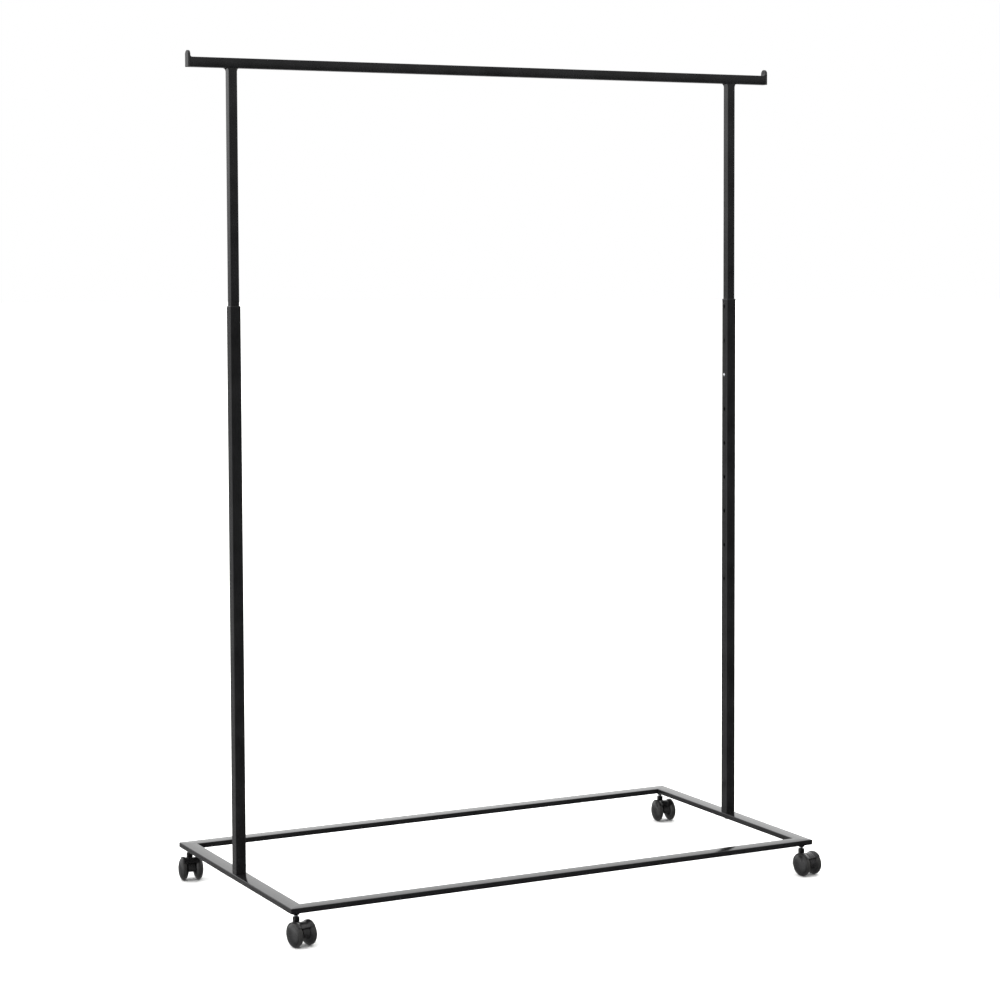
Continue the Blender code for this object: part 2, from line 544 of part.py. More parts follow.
def make_caster(corner, sign_x, sign_y, swing, root):
    """One caster: nut and stem on the frame, then hood, axle and two wheels on the stem's axis."""
    spot = (sign_x * (BASE_LENGTH / 2 - CASTER_INSET), sign_y * (BASE_DEPTH / 2 - CASTER_INSET), 0)

    nut_top = BASE_UNDERSIDE - JOINT_GAP
    nut_low = nut_top - NUT_HEIGHT
    corner_radius = NUT_ACROSS_FLATS / 2 / math.cos(math.pi / 6)
    profile = [(0, nut_low), (corner_radius - NUT_CHAMFER, nut_low),
               (corner_radius, nut_low + NUT_CHAMFER), (corner_radius, nut_top), (0, nut_top)]
    nut_name = corner + "_stem_nut"
    nut = place(nut_name, turned_mesh(nut_name, profile, 6), "black_coating", root, spot)
    thread = guide(corner + "_nut_thread", pin_mesh(corner + "_nut_thread", STEM_RADIUS + JOINT_GAP,
                   nut_low - NUT_HEIGHT, nut_top + NUT_HEIGHT), root, spot)
    combine(nut, thread, "DIFFERENCE")

    stem_top = BASE_UNDERSIDE + BASE_TUBE_WALL + STEM_TOP_IN_TUBE
    stem_low = NECK_TOP - STEM_DEPTH_IN_NECK
    stem_name = corner + "_caster_stem"
    chamfer = STEM_RADIUS / 5
    stem_profile = [(0, stem_low), (STEM_RADIUS, stem_low), (STEM_RADIUS, stem_top - chamfer),
                    (STEM_RADIUS - chamfer, stem_top), (0, stem_top)]
    place(stem_name, turned_mesh(stem_name, stem_profile, PIN_SIDES), "bright_plate", root, spot)

    swivel = empty(corner + "_swivel", spot, root, swing)
    axle = empty(corner + "_axle_line", (0, -CASTER_TRAIL, WHEEL_RADIUS), swivel)

    hood_name = corner + "_caster_hood"
    hood = place(hood_name, fender_mesh(hood_name), "black_nylon", axle)
    start = 90 + FENDER_BACK_ANGLE - WEB_SET_BACK_ANGLE
    finish = 90 - FENDER_FRONT_ANGLE + WEB_SET_BACK_ANGLE
    joining = WHEEL_RADIUS + FENDER_GAP + FENDER_THICKNESS / 2 - FENDER_VALLEY
    web_outline = arc((0, 0), (joining, joining), start, finish, WEB_STEPS // 2)
    shin_low = 90 + WEB_SHIN_ANGLE
    web_outline += arc((0, 0), (WEB_RADIUS, WEB_RADIUS), finish, shin_low - 360, WEB_STEPS // 2)
    web_outline += arc((0, 0), (WEB_SHIN_RADIUS, WEB_SHIN_RADIUS), shin_low, start, CORNER_STEPS)
    web = guide(corner + "_web", prism_mesh(corner + "_web", web_outline, -WEB_HALF_THICKNESS,
                WEB_HALF_THICKNESS, "X"), axle)
    combine(hood, web, "UNION")
    for side, sign in (("l", -1), ("r", 1)):
        room_name = corner + "_wheel_room_" + side
        combine(hood, guide(room_name, wheel_room_mesh(room_name, sign), axle), "DIFFERENCE")
    axle_drill = guide(corner + "_axle_drill", pin_mesh(corner + "_axle_drill", AXLE_RADIUS + RUNNING_GAP,
                       -AXLE_HALF_LENGTH, AXLE_HALF_LENGTH, "X"), axle)
    combine(hood, axle_drill, "DIFFERENCE")
    flare_low = WHEEL_RADIUS + math.sqrt(joining ** 2 - CASTER_TRAIL ** 2)
    flare_top = flare_low + FENDER_THICKNESS / 2 + NECK_FLARE_DROP
    neck_profile = [(0, WHEEL_RADIUS), (NECK_FOOT_RADIUS, WHEEL_RADIUS), (NECK_RADIUS, flare_low),
                    (NECK_RADIUS + NECK_FLARE, flare_low), (NECK_RADIUS, flare_top),
                    (NECK_RADIUS, NECK_TOP), (0, NECK_TOP)]
    neck = guide(corner + "_neck", turned_mesh(corner + "_neck", neck_profile, PIN_SIDES), swivel)
    combine(hood, neck, "UNION")
    socket_low = stem_low - RUNNING_GAP
    socket = guide(corner + "_socket_drill", pin_mesh(corner + "_socket_drill",
                   STEM_RADIUS + RUNNING_GAP, socket_low, NECK_TOP + STEM_RADIUS), swivel)
    combine(hood, socket, "DIFFERENCE")

    axle_name = corner + "_axle"
    place(axle_name, pin_mesh(axle_name, AXLE_RADIUS, -AXLE_HALF_LENGTH, AXLE_HALF_LENGTH, "X"),
          "bright_plate", axle)
    for side, turn in (("l", 180), ("r", 0)):
        wheel_name = corner + "_wheel_" + side
        place(wheel_name, turned_mesh(wheel_name, wheel_profile(), WHEEL_SIDES, "X"), "black_nylon",
              axle, (0, 0, 0), turn)


def main():
    """Build the rack."""
    clear_scene()
    root = empty("rack_frame", (0, FRAME_Y, 0))
    carriage = empty("rail_carriage", (0, 0, 0), root)
    make_base(root)
    make_hang_rail(carriage)
    for name, sign in SIDES:
        make_lower_tube(name, sign, root)
        make_foot(name, sign, root)
        make_upper_tube(name, sign, carriage)
        make_end_stop(name, sign, carriage)
        make_button(name, sign, carriage)
    for corner, sign_x, sign_y, swing in CASTERS:
        make_caster(corner, sign_x, sign_y, swing, root)


main()
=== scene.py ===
"""Finished looks of a rolling garment rack, built round its fixed frame.

The file is laid out as an add-on and is run as a script. Property groups hold the sizes and
colours that can be changed, one operator makes each group of pieces, and a panel in the
sidebar of the 3D view lists them. Lengths are in metres and angles in degrees.
"""

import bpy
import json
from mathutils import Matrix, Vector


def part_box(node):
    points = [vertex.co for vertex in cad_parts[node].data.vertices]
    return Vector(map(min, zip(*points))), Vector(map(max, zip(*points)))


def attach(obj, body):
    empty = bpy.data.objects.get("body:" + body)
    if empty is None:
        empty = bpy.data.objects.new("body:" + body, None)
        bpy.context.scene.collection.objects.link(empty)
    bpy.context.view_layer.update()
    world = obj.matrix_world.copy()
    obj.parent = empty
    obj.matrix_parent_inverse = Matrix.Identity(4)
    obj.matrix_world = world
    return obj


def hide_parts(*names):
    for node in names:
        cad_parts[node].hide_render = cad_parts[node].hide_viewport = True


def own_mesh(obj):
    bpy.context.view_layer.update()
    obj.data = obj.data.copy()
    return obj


bl_info = {
    "name": "Rolling Garment Rack",
    "version": (1, 0, 0),
    "blender": (4, 5, 0),
    "location": "View3D > Sidebar > Garment Rack",
    "description": "Builds the finished pieces, materials and stage of a rolling garment rack",
    "category": "Object",
}

import json
import math

import bmesh
import bpy
from bpy.props import FloatProperty, FloatVectorProperty, IntProperty, PointerProperty, StringProperty
from mathutils import Matrix, Vector

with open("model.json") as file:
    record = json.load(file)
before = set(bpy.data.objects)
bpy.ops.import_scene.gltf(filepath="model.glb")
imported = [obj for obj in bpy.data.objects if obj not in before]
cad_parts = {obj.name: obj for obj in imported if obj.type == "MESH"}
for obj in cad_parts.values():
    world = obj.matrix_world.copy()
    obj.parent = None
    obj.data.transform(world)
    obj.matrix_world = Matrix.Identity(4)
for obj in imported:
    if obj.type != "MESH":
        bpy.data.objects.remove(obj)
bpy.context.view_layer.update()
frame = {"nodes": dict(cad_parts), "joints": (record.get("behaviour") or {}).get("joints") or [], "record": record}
JOINTS = {joint["name"]: joint for joint in frame["joints"]}
MOUNTS = {mount["name"]: mount for mount in frame["record"]["mounts"]}
SIDES = (("left", -1), ("right", 1))
CORNERS = ("front_left", "front_right", "back_left", "back_right")
MM = 0.001


# Reading the frame


def middle_of(node):
    """The middle of a frame node's box."""
    low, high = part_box(node)
    return (low + high) / 2


def size_of(node):
    """The size of a frame node's box along X, Y and Z."""
    low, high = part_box(node)
    return high - low


def caster_facts(corner):
    """Where a caster stands: its stem's foot, its axle's middle and how it has swung, in radians."""
    stem = Vector(JOINTS[corner + "_swivel"]["pos_m"])
    left = Vector(JOINTS[corner + "_roll_l"]["pos_m"])
    right = Vector(JOINTS[corner + "_roll_r"]["pos_m"])
    along = right - left
    return Vector((stem.x, stem.y, 0)), (left + right) / 2, math.atan2(along.y, along.x)


# Properties


class RackTubeSizes(bpy.types.PropertyGroup):
    """Sizes of the square and flat tubes that the frame is made of."""

    base_wall: FloatProperty(name="Base wall", description="Wall of the flat base tube",
                             default=0.0015, min=0.0005, unit="LENGTH")
    base_corner: FloatProperty(name="Base corner", description="Outside corner radius of the base tube",
                               default=0.0016, min=0.0003, unit="LENGTH")
    outer_wall: FloatProperty(name="Outer upright wall", description="Wall of the outer uprights",
                              default=0.0015, min=0.0005, unit="LENGTH")
    outer_corner: FloatProperty(name="Outer upright corner",
                                description="Outside corner radius of the outer uprights",
                                default=0.0020, min=0.0003, unit="LENGTH")
    inner_wall: FloatProperty(name="Inner tube wall",
                              description="Wall of the inner uprights and of the hang rail",
                              default=0.0012, min=0.0005, unit="LENGTH")
    inner_corner: FloatProperty(name="Inner tube corner",
                                description="Outside corner radius of the inner uprights and the rail",
                                default=0.0017, min=0.0003, unit="LENGTH")
    edge_break: FloatProperty(name="Edge break", description="How far cut ends and hole rims are rounded",
                              default=0.0003, min=0.00005, unit="LENGTH")
    top_chamfer: FloatProperty(name="Top chamfer", description="Chamfer on top of the outer uprights",
                               default=0.0009, min=0.0001, unit="LENGTH")
    corner_steps: IntProperty(name="Corner steps", description="Facets in a quarter turn of a corner",
                              default=6, min=2, max=16)
    hole_sides: IntProperty(name="Hole sides", description="Facets round a button hole",
                            default=40, min=12, max=96)
    weld_leg: FloatProperty(name="Weld leg", description="How far a weld reaches from its corner",
                            default=0.0055, min=0.001, unit="LENGTH")
    weld_ripple: FloatProperty(name="Weld ripple", description="Spacing of the ripples along a weld",
                               default=0.0022, min=0.0005, unit="LENGTH")


class RackButtonHoles(bpy.types.PropertyGroup):
    """The row of height holes in each outer upright."""

    count: IntProperty(name="Holes", description="Number of height holes", default=9, min=1, max=20)
    pitch: FloatProperty(name="Pitch", description="Step from one height hole to the next",
                         default=0.0762, min=0.02, unit="LENGTH")
    top_drop: FloatProperty(name="Top drop", description="From the tube's top to the first hole",
                            default=0.017, min=0.005, unit="LENGTH")
    radius: FloatProperty(name="Hole radius", description="Radius of a height hole",
                          default=0.0041, min=0.001, unit="LENGTH")


class RackCasterSizes(bpy.types.PropertyGroup):
    """Sizes of the casters that the frame's boxes don't give."""

    rim_sides: IntProperty(name="Rim sides", description="Facets round a wheel",
                           default=72, min=24, max=128)
    dome_reach: FloatProperty(name="Dome reach", description="How far a wheel bulges outside its tread",
                              default=0.0096, min=0.002, unit="LENGTH")
    inner_face: FloatProperty(name="Inner face", description="From the caster's middle to a wheel",
                              default=0.0044, min=0.002, unit="LENGTH")
    tread_width: FloatProperty(name="Tread width", description="Flat width of a wheel's tread",
                               default=0.0016, min=0.0002, unit="LENGTH")
    fender_wall: FloatProperty(name="Hood wall", description="Thickness of the hood over the wheels",
                               default=0.0012, min=0.0005, unit="LENGTH")
    fender_gap: FloatProperty(name="Hood gap", description="Free space between hood and wheels",
                              default=0.0008, min=0.0002, unit="LENGTH")
    valley: FloatProperty(name="Valley", description="How far the hood dips between the wheels",
                          default=0.0026, min=0.0, unit="LENGTH")
    back_angle: FloatProperty(name="Back lip", description="Angle from the top to the hood's back lip",
                              default=math.radians(48), subtype="ANGLE", unit="ROTATION")
    front_angle: FloatProperty(name="Front lip", description="Angle from the top to the hood's front lip",
                               default=math.radians(100), subtype="ANGLE", unit="ROTATION")
    side_angle: FloatProperty(name="Side lip", description="Where the hood ends outside the tread",
                              default=math.radians(80), subtype="ANGLE", unit="ROTATION")
    web_half: FloatProperty(name="Web half width", description="Half of the web between the wheels",
                            default=0.0073, min=0.002, unit="LENGTH")
    web_radius: FloatProperty(name="Web radius", description="Radius of the web's underside",
                              default=0.0050, min=0.004, unit="LENGTH")
    shin_radius: FloatProperty(name="Shin radius", description="Radius of the web behind the axle",
                               default=0.0195, min=0.006, unit="LENGTH")
    shin_angle: FloatProperty(name="Shin angle", description="Angle from the top to the web's low end",
                              default=math.radians(100), subtype="ANGLE", unit="ROTATION")
    wheel_room: FloatProperty(name="Wheel room", description="Free space between a wheel and the web",
                              default=0.0004, min=0.0001, unit="LENGTH")
    neck_foot: FloatProperty(name="Neck foot", description="Radius of the neck's lower end",
                             default=0.0044, min=0.003, unit="LENGTH")
    neck_radius: FloatProperty(name="Neck radius", description="Radius of the neck round the stem",
                               default=0.0067, min=0.003, unit="LENGTH")
    neck_top: FloatProperty(name="Neck top", description="Height of the neck above the floor",
                            default=0.054, min=0.02, unit="LENGTH")
    neck_fillet: FloatProperty(name="Neck fillet", description="Fillet between the neck and the hood",
                               default=0.0040, min=0.0005, unit="LENGTH")
    thread_pitch: FloatProperty(name="Thread pitch", description="Pitch of the stem's thread",
                                default=0.00125, min=0.0003, unit="LENGTH")
    thread_depth: FloatProperty(name="Thread depth", description="Depth of the stem's thread",
                                default=0.0005, min=0.0001, unit="LENGTH")


class RackFinishes(bpy.types.PropertyGroup):
    """Colours, as sRGB hex values, and gloss of the finishes."""

    coating: StringProperty(name="Coating", description="Black coating of the steel", default="0D0D0E")
    coating_dust: StringProperty(name="Coating haze", description="Faint haze on the coating",
                                 default="161617")
    nylon: StringProperty(name="Nylon", description="Hoods and wheels", default="101011")
    nylon_scuffed: StringProperty(name="Scuffed nylon", description="Treads that have rolled on a floor",
                                  default="2E2D2C")
    cap: StringProperty(name="End stops", description="Moulded end stops", default="1C1C1D")
    zinc: StringProperty(name="Zinc plate", description="Stems, axles and bolts", default="C9CBCC")
    chrome: StringProperty(name="Chrome plate", description="Spring buttons", default="DDDEE0")
    spring: StringProperty(name="Spring steel", description="Bent clips", default="8D8F94")
    coating_roughness: FloatProperty(name="Coating roughness", description="Roughness of the coating",
                                     default=0.13, min=0.02, max=1, subtype="FACTOR")
    nylon_roughness: FloatProperty(name="Nylon roughness", description="Roughness of hoods and wheels",
                                   default=0.28, min=0.02, max=1, subtype="FACTOR")


class RackStage(bpy.types.PropertyGroup):
    """The camera, the floor and the light."""

    camera_place: FloatVectorProperty(name="Camera place", description="Where the camera stands",
                                      default=(-2.4403, -4.7320, 1.3449), size=3, subtype="XYZ",
                                      unit="LENGTH")
    camera_yaw: FloatProperty(name="Yaw", description="From straight ahead towards the right",
                              default=math.radians(27.35), subtype="ANGLE", unit="ROTATION")
    camera_pitch: FloatProperty(name="Pitch", description="How far the camera looks down",
                                default=math.radians(3.44), subtype="ANGLE", unit="ROTATION")
    camera_roll: FloatProperty(name="Roll", description="How far the camera leans",
                               default=math.radians(-0.21), subtype="ANGLE", unit="ROTATION")
    lens: FloatProperty(name="Lens", description="Focal length on a 36 mm wide sensor",
                        default=90.45, min=10, unit="CAMERA")
    lens_shift: FloatProperty(name="Shift", description="Vertical lens shift", default=-0.1)
    floor_colour: StringProperty(name="Floor", description="Pale floor, as an sRGB hex value",
                                 default="F4F4F3")
    key_strength: FloatProperty(name="Key light", description="Strength of the soft light from above",
                                default=4.5, min=0)
    back_glow: FloatProperty(name="Back wall", description="Brightness of the studio behind the rack",
                             default=1.3, min=0)
    front_glow: FloatProperty(name="Front wall", description="Brightness of the studio before the rack",
                              default=0.38, min=0)
    side_glow: FloatProperty(name="Side panel", description="Extra brightness of the panel on the left",
                             default=0.9, min=0)
    floor_glow: FloatProperty(name="Lower part", description="Share of that light near the floor",
                              default=0.25, min=0, max=1, subtype="FACTOR")


# Node trees and materials


def add_node(tree, kind, settings=None, inputs=None):
    """Add one node. Settings are its own properties; an input is a value or another node's output."""
    node = tree.nodes.new(kind)
    for name, value in (settings or {}).items():
        setattr(node, name, value)
    for name, value in (inputs or {}).items():
        socket = node.inputs[name]
        if isinstance(value, bpy.types.NodeSocket):
            tree.links.new(value, socket)
        else:
            socket.default_value = value
    return node


def linear(hex_colour):
    """An sRGB hex colour as linear red, green, blue and alpha."""
    shares = [int(hex_colour[start:start + 2], 16) / 255 for start in (0, 2, 4)]
    return tuple(c / 12.92 if c <= 0.04045 else ((c + 0.055) / 1.055) ** 2.4 for c in shares) + (1.0,)


def start_material(name, metallic, ior=None):
    """A material with its node tree and Principled shader."""
    material = bpy.data.materials.new(name)
    material.use_nodes = True
    tree = material.node_tree
    shader = tree.nodes["Principled BSDF"]
    shader.inputs["Metallic"].default_value = metallic
    if ior is not None:
        shader.inputs["IOR"].default_value = ior
    return material, tree, shader


def noise_of(tree, grain_mm, detail=2.0, stretch=(1, 1, 1)):
    """A noise pattern on the object's own coordinates whose grain is about that size."""
    place = add_node(tree, "ShaderNodeTexCoord")
    mapping = add_node(tree, "ShaderNodeMapping", inputs={"Vector": place.outputs["Object"],
                                                          "Scale": stretch})
    noise = add_node(tree, "ShaderNodeTexNoise", inputs={
        "Vector": mapping.outputs["Vector"], "Scale": 1 / (grain_mm * MM), "Detail": detail})
    return noise.outputs["Fac"]


def between(tree, fac, low, high, from_low=0.35, from_high=0.65):
    """A pattern's middle range spread from one number to another."""
    spread = add_node(tree, "ShaderNodeMapRange", inputs={
        "Value": fac, "From Min": from_low, "From Max": from_high, "To Min": low, "To Max": high})
    return spread.outputs["Result"]


def colour_mix(tree, fac, first, second):
    """Two colours mixed by a pattern."""
    mix = add_node(tree, "ShaderNodeMix", {"data_type": "RGBA"})
    tree.links.new(fac, mix.inputs["Factor"])
    mix.inputs[6].default_value = first
    mix.inputs[7].default_value = second
    return mix.outputs[2]


def add_bump(tree, shader, height, depth_mm, strength=1.0):
    """Raise the surface by a pattern of that depth."""
    bump = add_node(tree, "ShaderNodeBump", inputs={
        "Height": height, "Distance": depth_mm * MM, "Strength": strength})
    tree.links.new(bump.outputs["Normal"], shader.inputs["Normal"])


def powder_coating(finishes):
    """Thermoset polyester powder, sprayed and baked: near black, smooth and glossy, with a faint
    orange peel that breaks up reflections and slow changes in gloss."""
    material, tree, shader = start_material("polyester_powder_coat_baked", 0.0, 1.5)
    haze = noise_of(tree, 60, 3)
    tint = colour_mix(tree, between(tree, haze, 0, 1), linear(finishes.coating),
                      linear(finishes.coating_dust))
    tree.links.new(tint, shader.inputs["Base Color"])
    gloss = between(tree, noise_of(tree, 9, 4), finishes.coating_roughness * 0.8,
                    finishes.coating_roughness * 1.25)
    tree.links.new(gloss, shader.inputs["Roughness"])
    # Real orange peel is a few micrometres deep in waves of 1 to 3 mm.
    add_bump(tree, shader, noise_of(tree, 2.2, 2), 0.02, 0.35)
    return material


def moulded_nylon(finishes, name, worn):
    """Glass-filled nylon from a spark-eroded mould: satin, with a fine even grain. Treads that
    have rolled on a floor are greyer and duller, by the piece's own wear attribute."""
    material, tree, shader = start_material(name, 0.0, 1.53)
    mottle = noise_of(tree, 5, 3)
    fresh = colour_mix(tree, between(tree, mottle, 0, 0.25), linear(finishes.nylon),
                       linear(finishes.nylon_scuffed))
    rough = between(tree, noise_of(tree, 1.6, 3), finishes.nylon_roughness * 0.88,
                    finishes.nylon_roughness * 1.14)
    if worn:
        wear = add_node(tree, "ShaderNodeAttribute", {"attribute_name": "tread_wear"})
        patches = between(tree, noise_of(tree, 1.1, 4, (1, 1, 1)), 0.25, 1)
        share = add_node(tree, "ShaderNodeMath", {"operation": "MULTIPLY"})
        tree.links.new(wear.outputs["Fac"], share.inputs[0])
        tree.links.new(patches, share.inputs[1])
        fresh = colour_mix(tree, share.outputs["Value"], linear(finishes.nylon),
                           linear(finishes.nylon_scuffed))
        dulled = add_node(tree, "ShaderNodeMath", {"operation": "MULTIPLY_ADD"})
        tree.links.new(share.outputs["Value"], dulled.inputs[0])
        dulled.inputs[1].default_value = 0.25
        tree.links.new(rough, dulled.inputs[2])
        rough = dulled.outputs["Value"]
    tree.links.new(fresh, shader.inputs["Base Color"])
    tree.links.new(rough, shader.inputs["Roughness"])
    # Spark-eroded grain is about 0.1 mm, drawn at 0.35 mm so that it can be seen.
    add_bump(tree, shader, noise_of(tree, 0.35, 2), 0.012, 0.5)
    return material


def moulded_cap(finishes):
    """Low-density polyethylene, injection moulded: soft satin black with a shallow sink and grain."""
    material, tree, shader = start_material("polyethylene_cap_moulded", 0.0, 1.51)
    mottle = noise_of(tree, 4, 3)
    tint = colour_mix(tree, between(tree, mottle, 0, 1), linear(finishes.cap), linear("252526"))
    tree.links.new(tint, shader.inputs["Base Color"])
    tree.links.new(between(tree, mottle, 0.34, 0.44), shader.inputs["Roughness"])
    add_bump(tree, shader, noise_of(tree, 0.5, 3), 0.015, 0.5)
    return material


def plated_metal(name, colour, roughness, cloud_mm, colour_low):
    """Plated steel: a bright even metal whose gloss clouds a little where the bath left it thinner."""
    material, tree, shader = start_material(name, 1.0)
    cloud = noise_of(tree, cloud_mm, 4)
    tree.links.new(colour_mix(tree, between(tree, cloud, 0, 1), linear(colour), linear(colour_low)),
                   shader.inputs["Base Color"])
    tree.links.new(between(tree, cloud, roughness * 0.75, roughness * 1.35), shader.inputs["Roughness"])
    add_bump(tree, shader, noise_of(tree, cloud_mm / 6, 2), 0.004, 0.4)
    return material


def rolled_spring_steel(finishes):
    """Tempered strip: grey with a faint straw tint and fine lines along the rolling direction."""
    material, tree, shader = start_material("spring_steel_rolled", 1.0)
    lines = noise_of(tree, 0.4, 2, (1, 1, 0.03))
    tree.links.new(colour_mix(tree, between(tree, lines, 0, 1), linear(finishes.spring),
                              linear("7A756C")), shader.inputs["Base Color"])
    tree.links.new(between(tree, lines, 0.26, 0.42), shader.inputs["Roughness"])
    add_bump(tree, shader, lines, 0.005, 0.5)
    return material


def material_for(finish):
    """The material of one finish, made the first time that it is asked for."""
    finishes = bpy.context.scene.rack_finishes
    makers = {
        "coating": lambda: powder_coating(finishes),
        "hood": lambda: moulded_nylon(finishes, "glass_filled_nylon_moulded", False),
        "wheel": lambda: moulded_nylon(finishes, "glass_filled_nylon_rolled_on", True),
        "cap": lambda: moulded_cap(finishes),
        "zinc": lambda: plated_metal("steel_bright_zinc_plated", finishes.zinc, 0.22, 3, "B4B8BC"),
        "chrome": lambda: plated_metal("steel_chrome_plated", finishes.chrome, 0.08, 4, "D2D4D8"),
        "spring": lambda: rolled_spring_steel(finishes),
    }
    if finish not in MATERIALS:
        MATERIALS[finish] = makers[finish]()
    return MATERIALS[finish]


MATERIALS = {}


# Making pieces


def finished(name, mesh, finish, body, nodes, smooth_angle=32.0):
    """Add a piece to the scene in place of its frame nodes, riding on its body."""
    mesh.name = name
    if not mesh.materials:
        mesh.materials.append(material_for(finish))
    if smooth_angle is not None:
        mesh.shade_smooth()
        mesh.set_sharp_from_angle(angle=math.radians(smooth_angle))
    piece = bpy.data.objects.new(name, mesh)
    bpy.context.scene.collection.objects.link(piece)
    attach(piece, body)
    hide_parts(*nodes)
    return piece


def dress(node, finish):
    """Give a frame node that stays its finished material."""
    materials = frame["nodes"][node].data.materials
    materials.clear()
    materials.append(material_for(finish))


def with_modifiers(mesh, *steps):
    """A mesh after modifiers, each given as its kind and its settings."""
    worker = bpy.data.objects.new("worker", mesh)
    bpy.context.scene.collection.objects.link(worker)
    for kind, settings in steps:
        modifier = worker.modifiers.new(kind.title(), kind)
        for name, value in settings.items():
            setattr(modifier, name, value)
    depsgraph = bpy.context.evaluated_depsgraph_get()
    result = bpy.data.meshes.new_from_object(worker.evaluated_get(depsgraph))
    worker.modifiers.clear()
    bpy.data.objects.remove(worker, do_unlink=True)
    return result


def from_tree(tree, values, mesh=None):
    """The plain mesh that a Geometry Nodes tree makes. Values are by input name."""
    worker = bpy.data.objects.new("worker", mesh or bpy.data.meshes.new("worker"))
    bpy.context.scene.collection.objects.link(worker)
    modifier = worker.modifiers.new("Rule", "NODES")
    modifier.node_group = tree
    identifiers = {item.name: item.identifier for item in tree.interface.items_tree
                   if item.item_type == "SOCKET" and item.in_out == "INPUT"}
    for name, value in values.items():
        modifier[identifiers[name]] = value
    worker.update_tag()
    depsgraph = bpy.context.evaluated_depsgraph_get()
    result = bpy.data.meshes.new_from_object(worker.evaluated_get(depsgraph))
    worker.modifiers.clear()
    bpy.data.objects.remove(worker, do_unlink=True)
    if not result.polygons:
        raise RuntimeError("the tree " + tree.name + " made no faces")
    return result


def softened(mesh, width, angle=32.0, segments=3):
    """A mesh with its sharp edges rounded and the shading of its flat faces kept flat."""
    mesh.shade_smooth()
    return with_modifiers(
        mesh,
        ("BEVEL", {"width": width, "segments": segments, "limit_method": "ANGLE",
                   "angle_limit": math.radians(angle), "use_clamp_overlap": True}),
        ("WEIGHTED_NORMAL", {"mode": "FACE_AREA", "weight": 50, "keep_sharp": True}))


def tidy_mesh(work, name):
    """Turn a bmesh into a mesh with its doubles merged and its faces pointing outwards."""
    bmesh.ops.remove_doubles(work, verts=work.verts, dist=1e-7)
    bmesh.ops.recalc_face_normals(work, faces=work.faces)
    mesh = bpy.data.meshes.new(name)
    work.to_mesh(mesh)
    work.free()
    return mesh


def arc(centre, radii, start, end, steps):
    """Points along an elliptical arc, both ends included, as pairs."""
    angles = [math.radians(start + (end - start) * step / steps) for step in range(steps + 1)]
    return [(centre[0] + radii[0] * math.cos(a), centre[1] + radii[1] * math.sin(a)) for a in angles]


def turned(name, profile, sides):
    """Turn a profile of (radius, height) pairs a full circle about Z."""
    work = bmesh.new()
    verts = [work.verts.new((radius, 0, height)) for radius, height in profile]
    edges = [work.edges.new(pair) for pair in zip(verts, verts[1:])]
    if profile[0][0] > 0:
        edges.append(work.edges.new((verts[-1], verts[0])))
    bmesh.ops.spin(work, geom=verts + edges, cent=(0, 0, 0), axis=(0, 0, 1), angle=math.tau,
                   steps=sides, use_merge=True)
    return tidy_mesh(work, name)


def extruded(name, outline, half, axis):
    """Extrude an outline evenly to both sides of the plane across an axis, X, Y or Z."""
    spots = {"X": lambda u, v: (-half, u, v), "Y": lambda u, v: (u, -half, v),
             "Z": lambda u, v: (u, v, -half)}
    step = Vector([2 * half if axis == letter else 0 for letter in "XYZ"])
    work = bmesh.new()
    face = work.faces.new([work.verts.new(spots[axis](u, v)) for u, v in outline])
    made = bmesh.ops.extrude_face_region(work, geom=[face])
    moved = [item for item in made["geom"] if isinstance(item, bmesh.types.BMVert)]
    bmesh.ops.translate(work, verts=moved, vec=step)
    return tidy_mesh(work, name)


def combined(base, tool, operation):
    """The union or difference of two meshes."""
    other = bpy.data.objects.new("tool", tool)
    bpy.context.scene.collection.objects.link(other)
    result = with_modifiers(base, ("BOOLEAN", {"operation": operation, "solver": "EXACT",
                                               "object": other}))
    bpy.data.objects.remove(other, do_unlink=True)
    return result


def joined(meshes):
    """Several meshes as one."""
    work = bmesh.new()
    for mesh in meshes:
        work.from_mesh(mesh)
    result = bpy.data.meshes.new("joined")
    work.to_mesh(result)
    work.free()
    return result


# Geometry Nodes trees


def start_tree(name, inputs):
    """A Geometry Nodes tree with named inputs of (name, socket kind, default)."""
    tree = bpy.data.node_groups.new(name, "GeometryNodeTree")
    tree.interface.new_socket("Geometry", in_out="OUTPUT", socket_type="NodeSocketGeometry")
    for label, kind, default in inputs:
        socket = tree.interface.new_socket(label, in_out="INPUT", socket_type=kind)
        if default is not None:
            socket.default_value = default
    return tree, add_node(tree, "NodeGroupInput").outputs


def finish_tree(tree, geometry, material):
    """Realize the instances, set the material and close the tree."""
    real = add_node(tree, "GeometryNodeRealizeInstances", inputs={"Geometry": geometry})
    coated = add_node(tree, "GeometryNodeSetMaterial", inputs={
        "Geometry": real.outputs["Geometry"], "Material": material})
    add_node(tree, "NodeGroupOutput", inputs={"Geometry": coated.outputs["Geometry"]})
    return tree


def combine_xyz(tree, x=0.0, y=0.0, z=0.0):
    """A vector from three numbers or outputs."""
    return add_node(tree, "ShaderNodeCombineXYZ", inputs={"X": x, "Y": y, "Z": z}).outputs["Vector"]


def compute(tree, operation, first, second=0.0, third=0.0):
    """The result of one sum on numbers or outputs."""
    return add_node(tree, "ShaderNodeMath", {"operation": operation},
                    {0: first, 1: second, 2: third}).outputs["Value"]


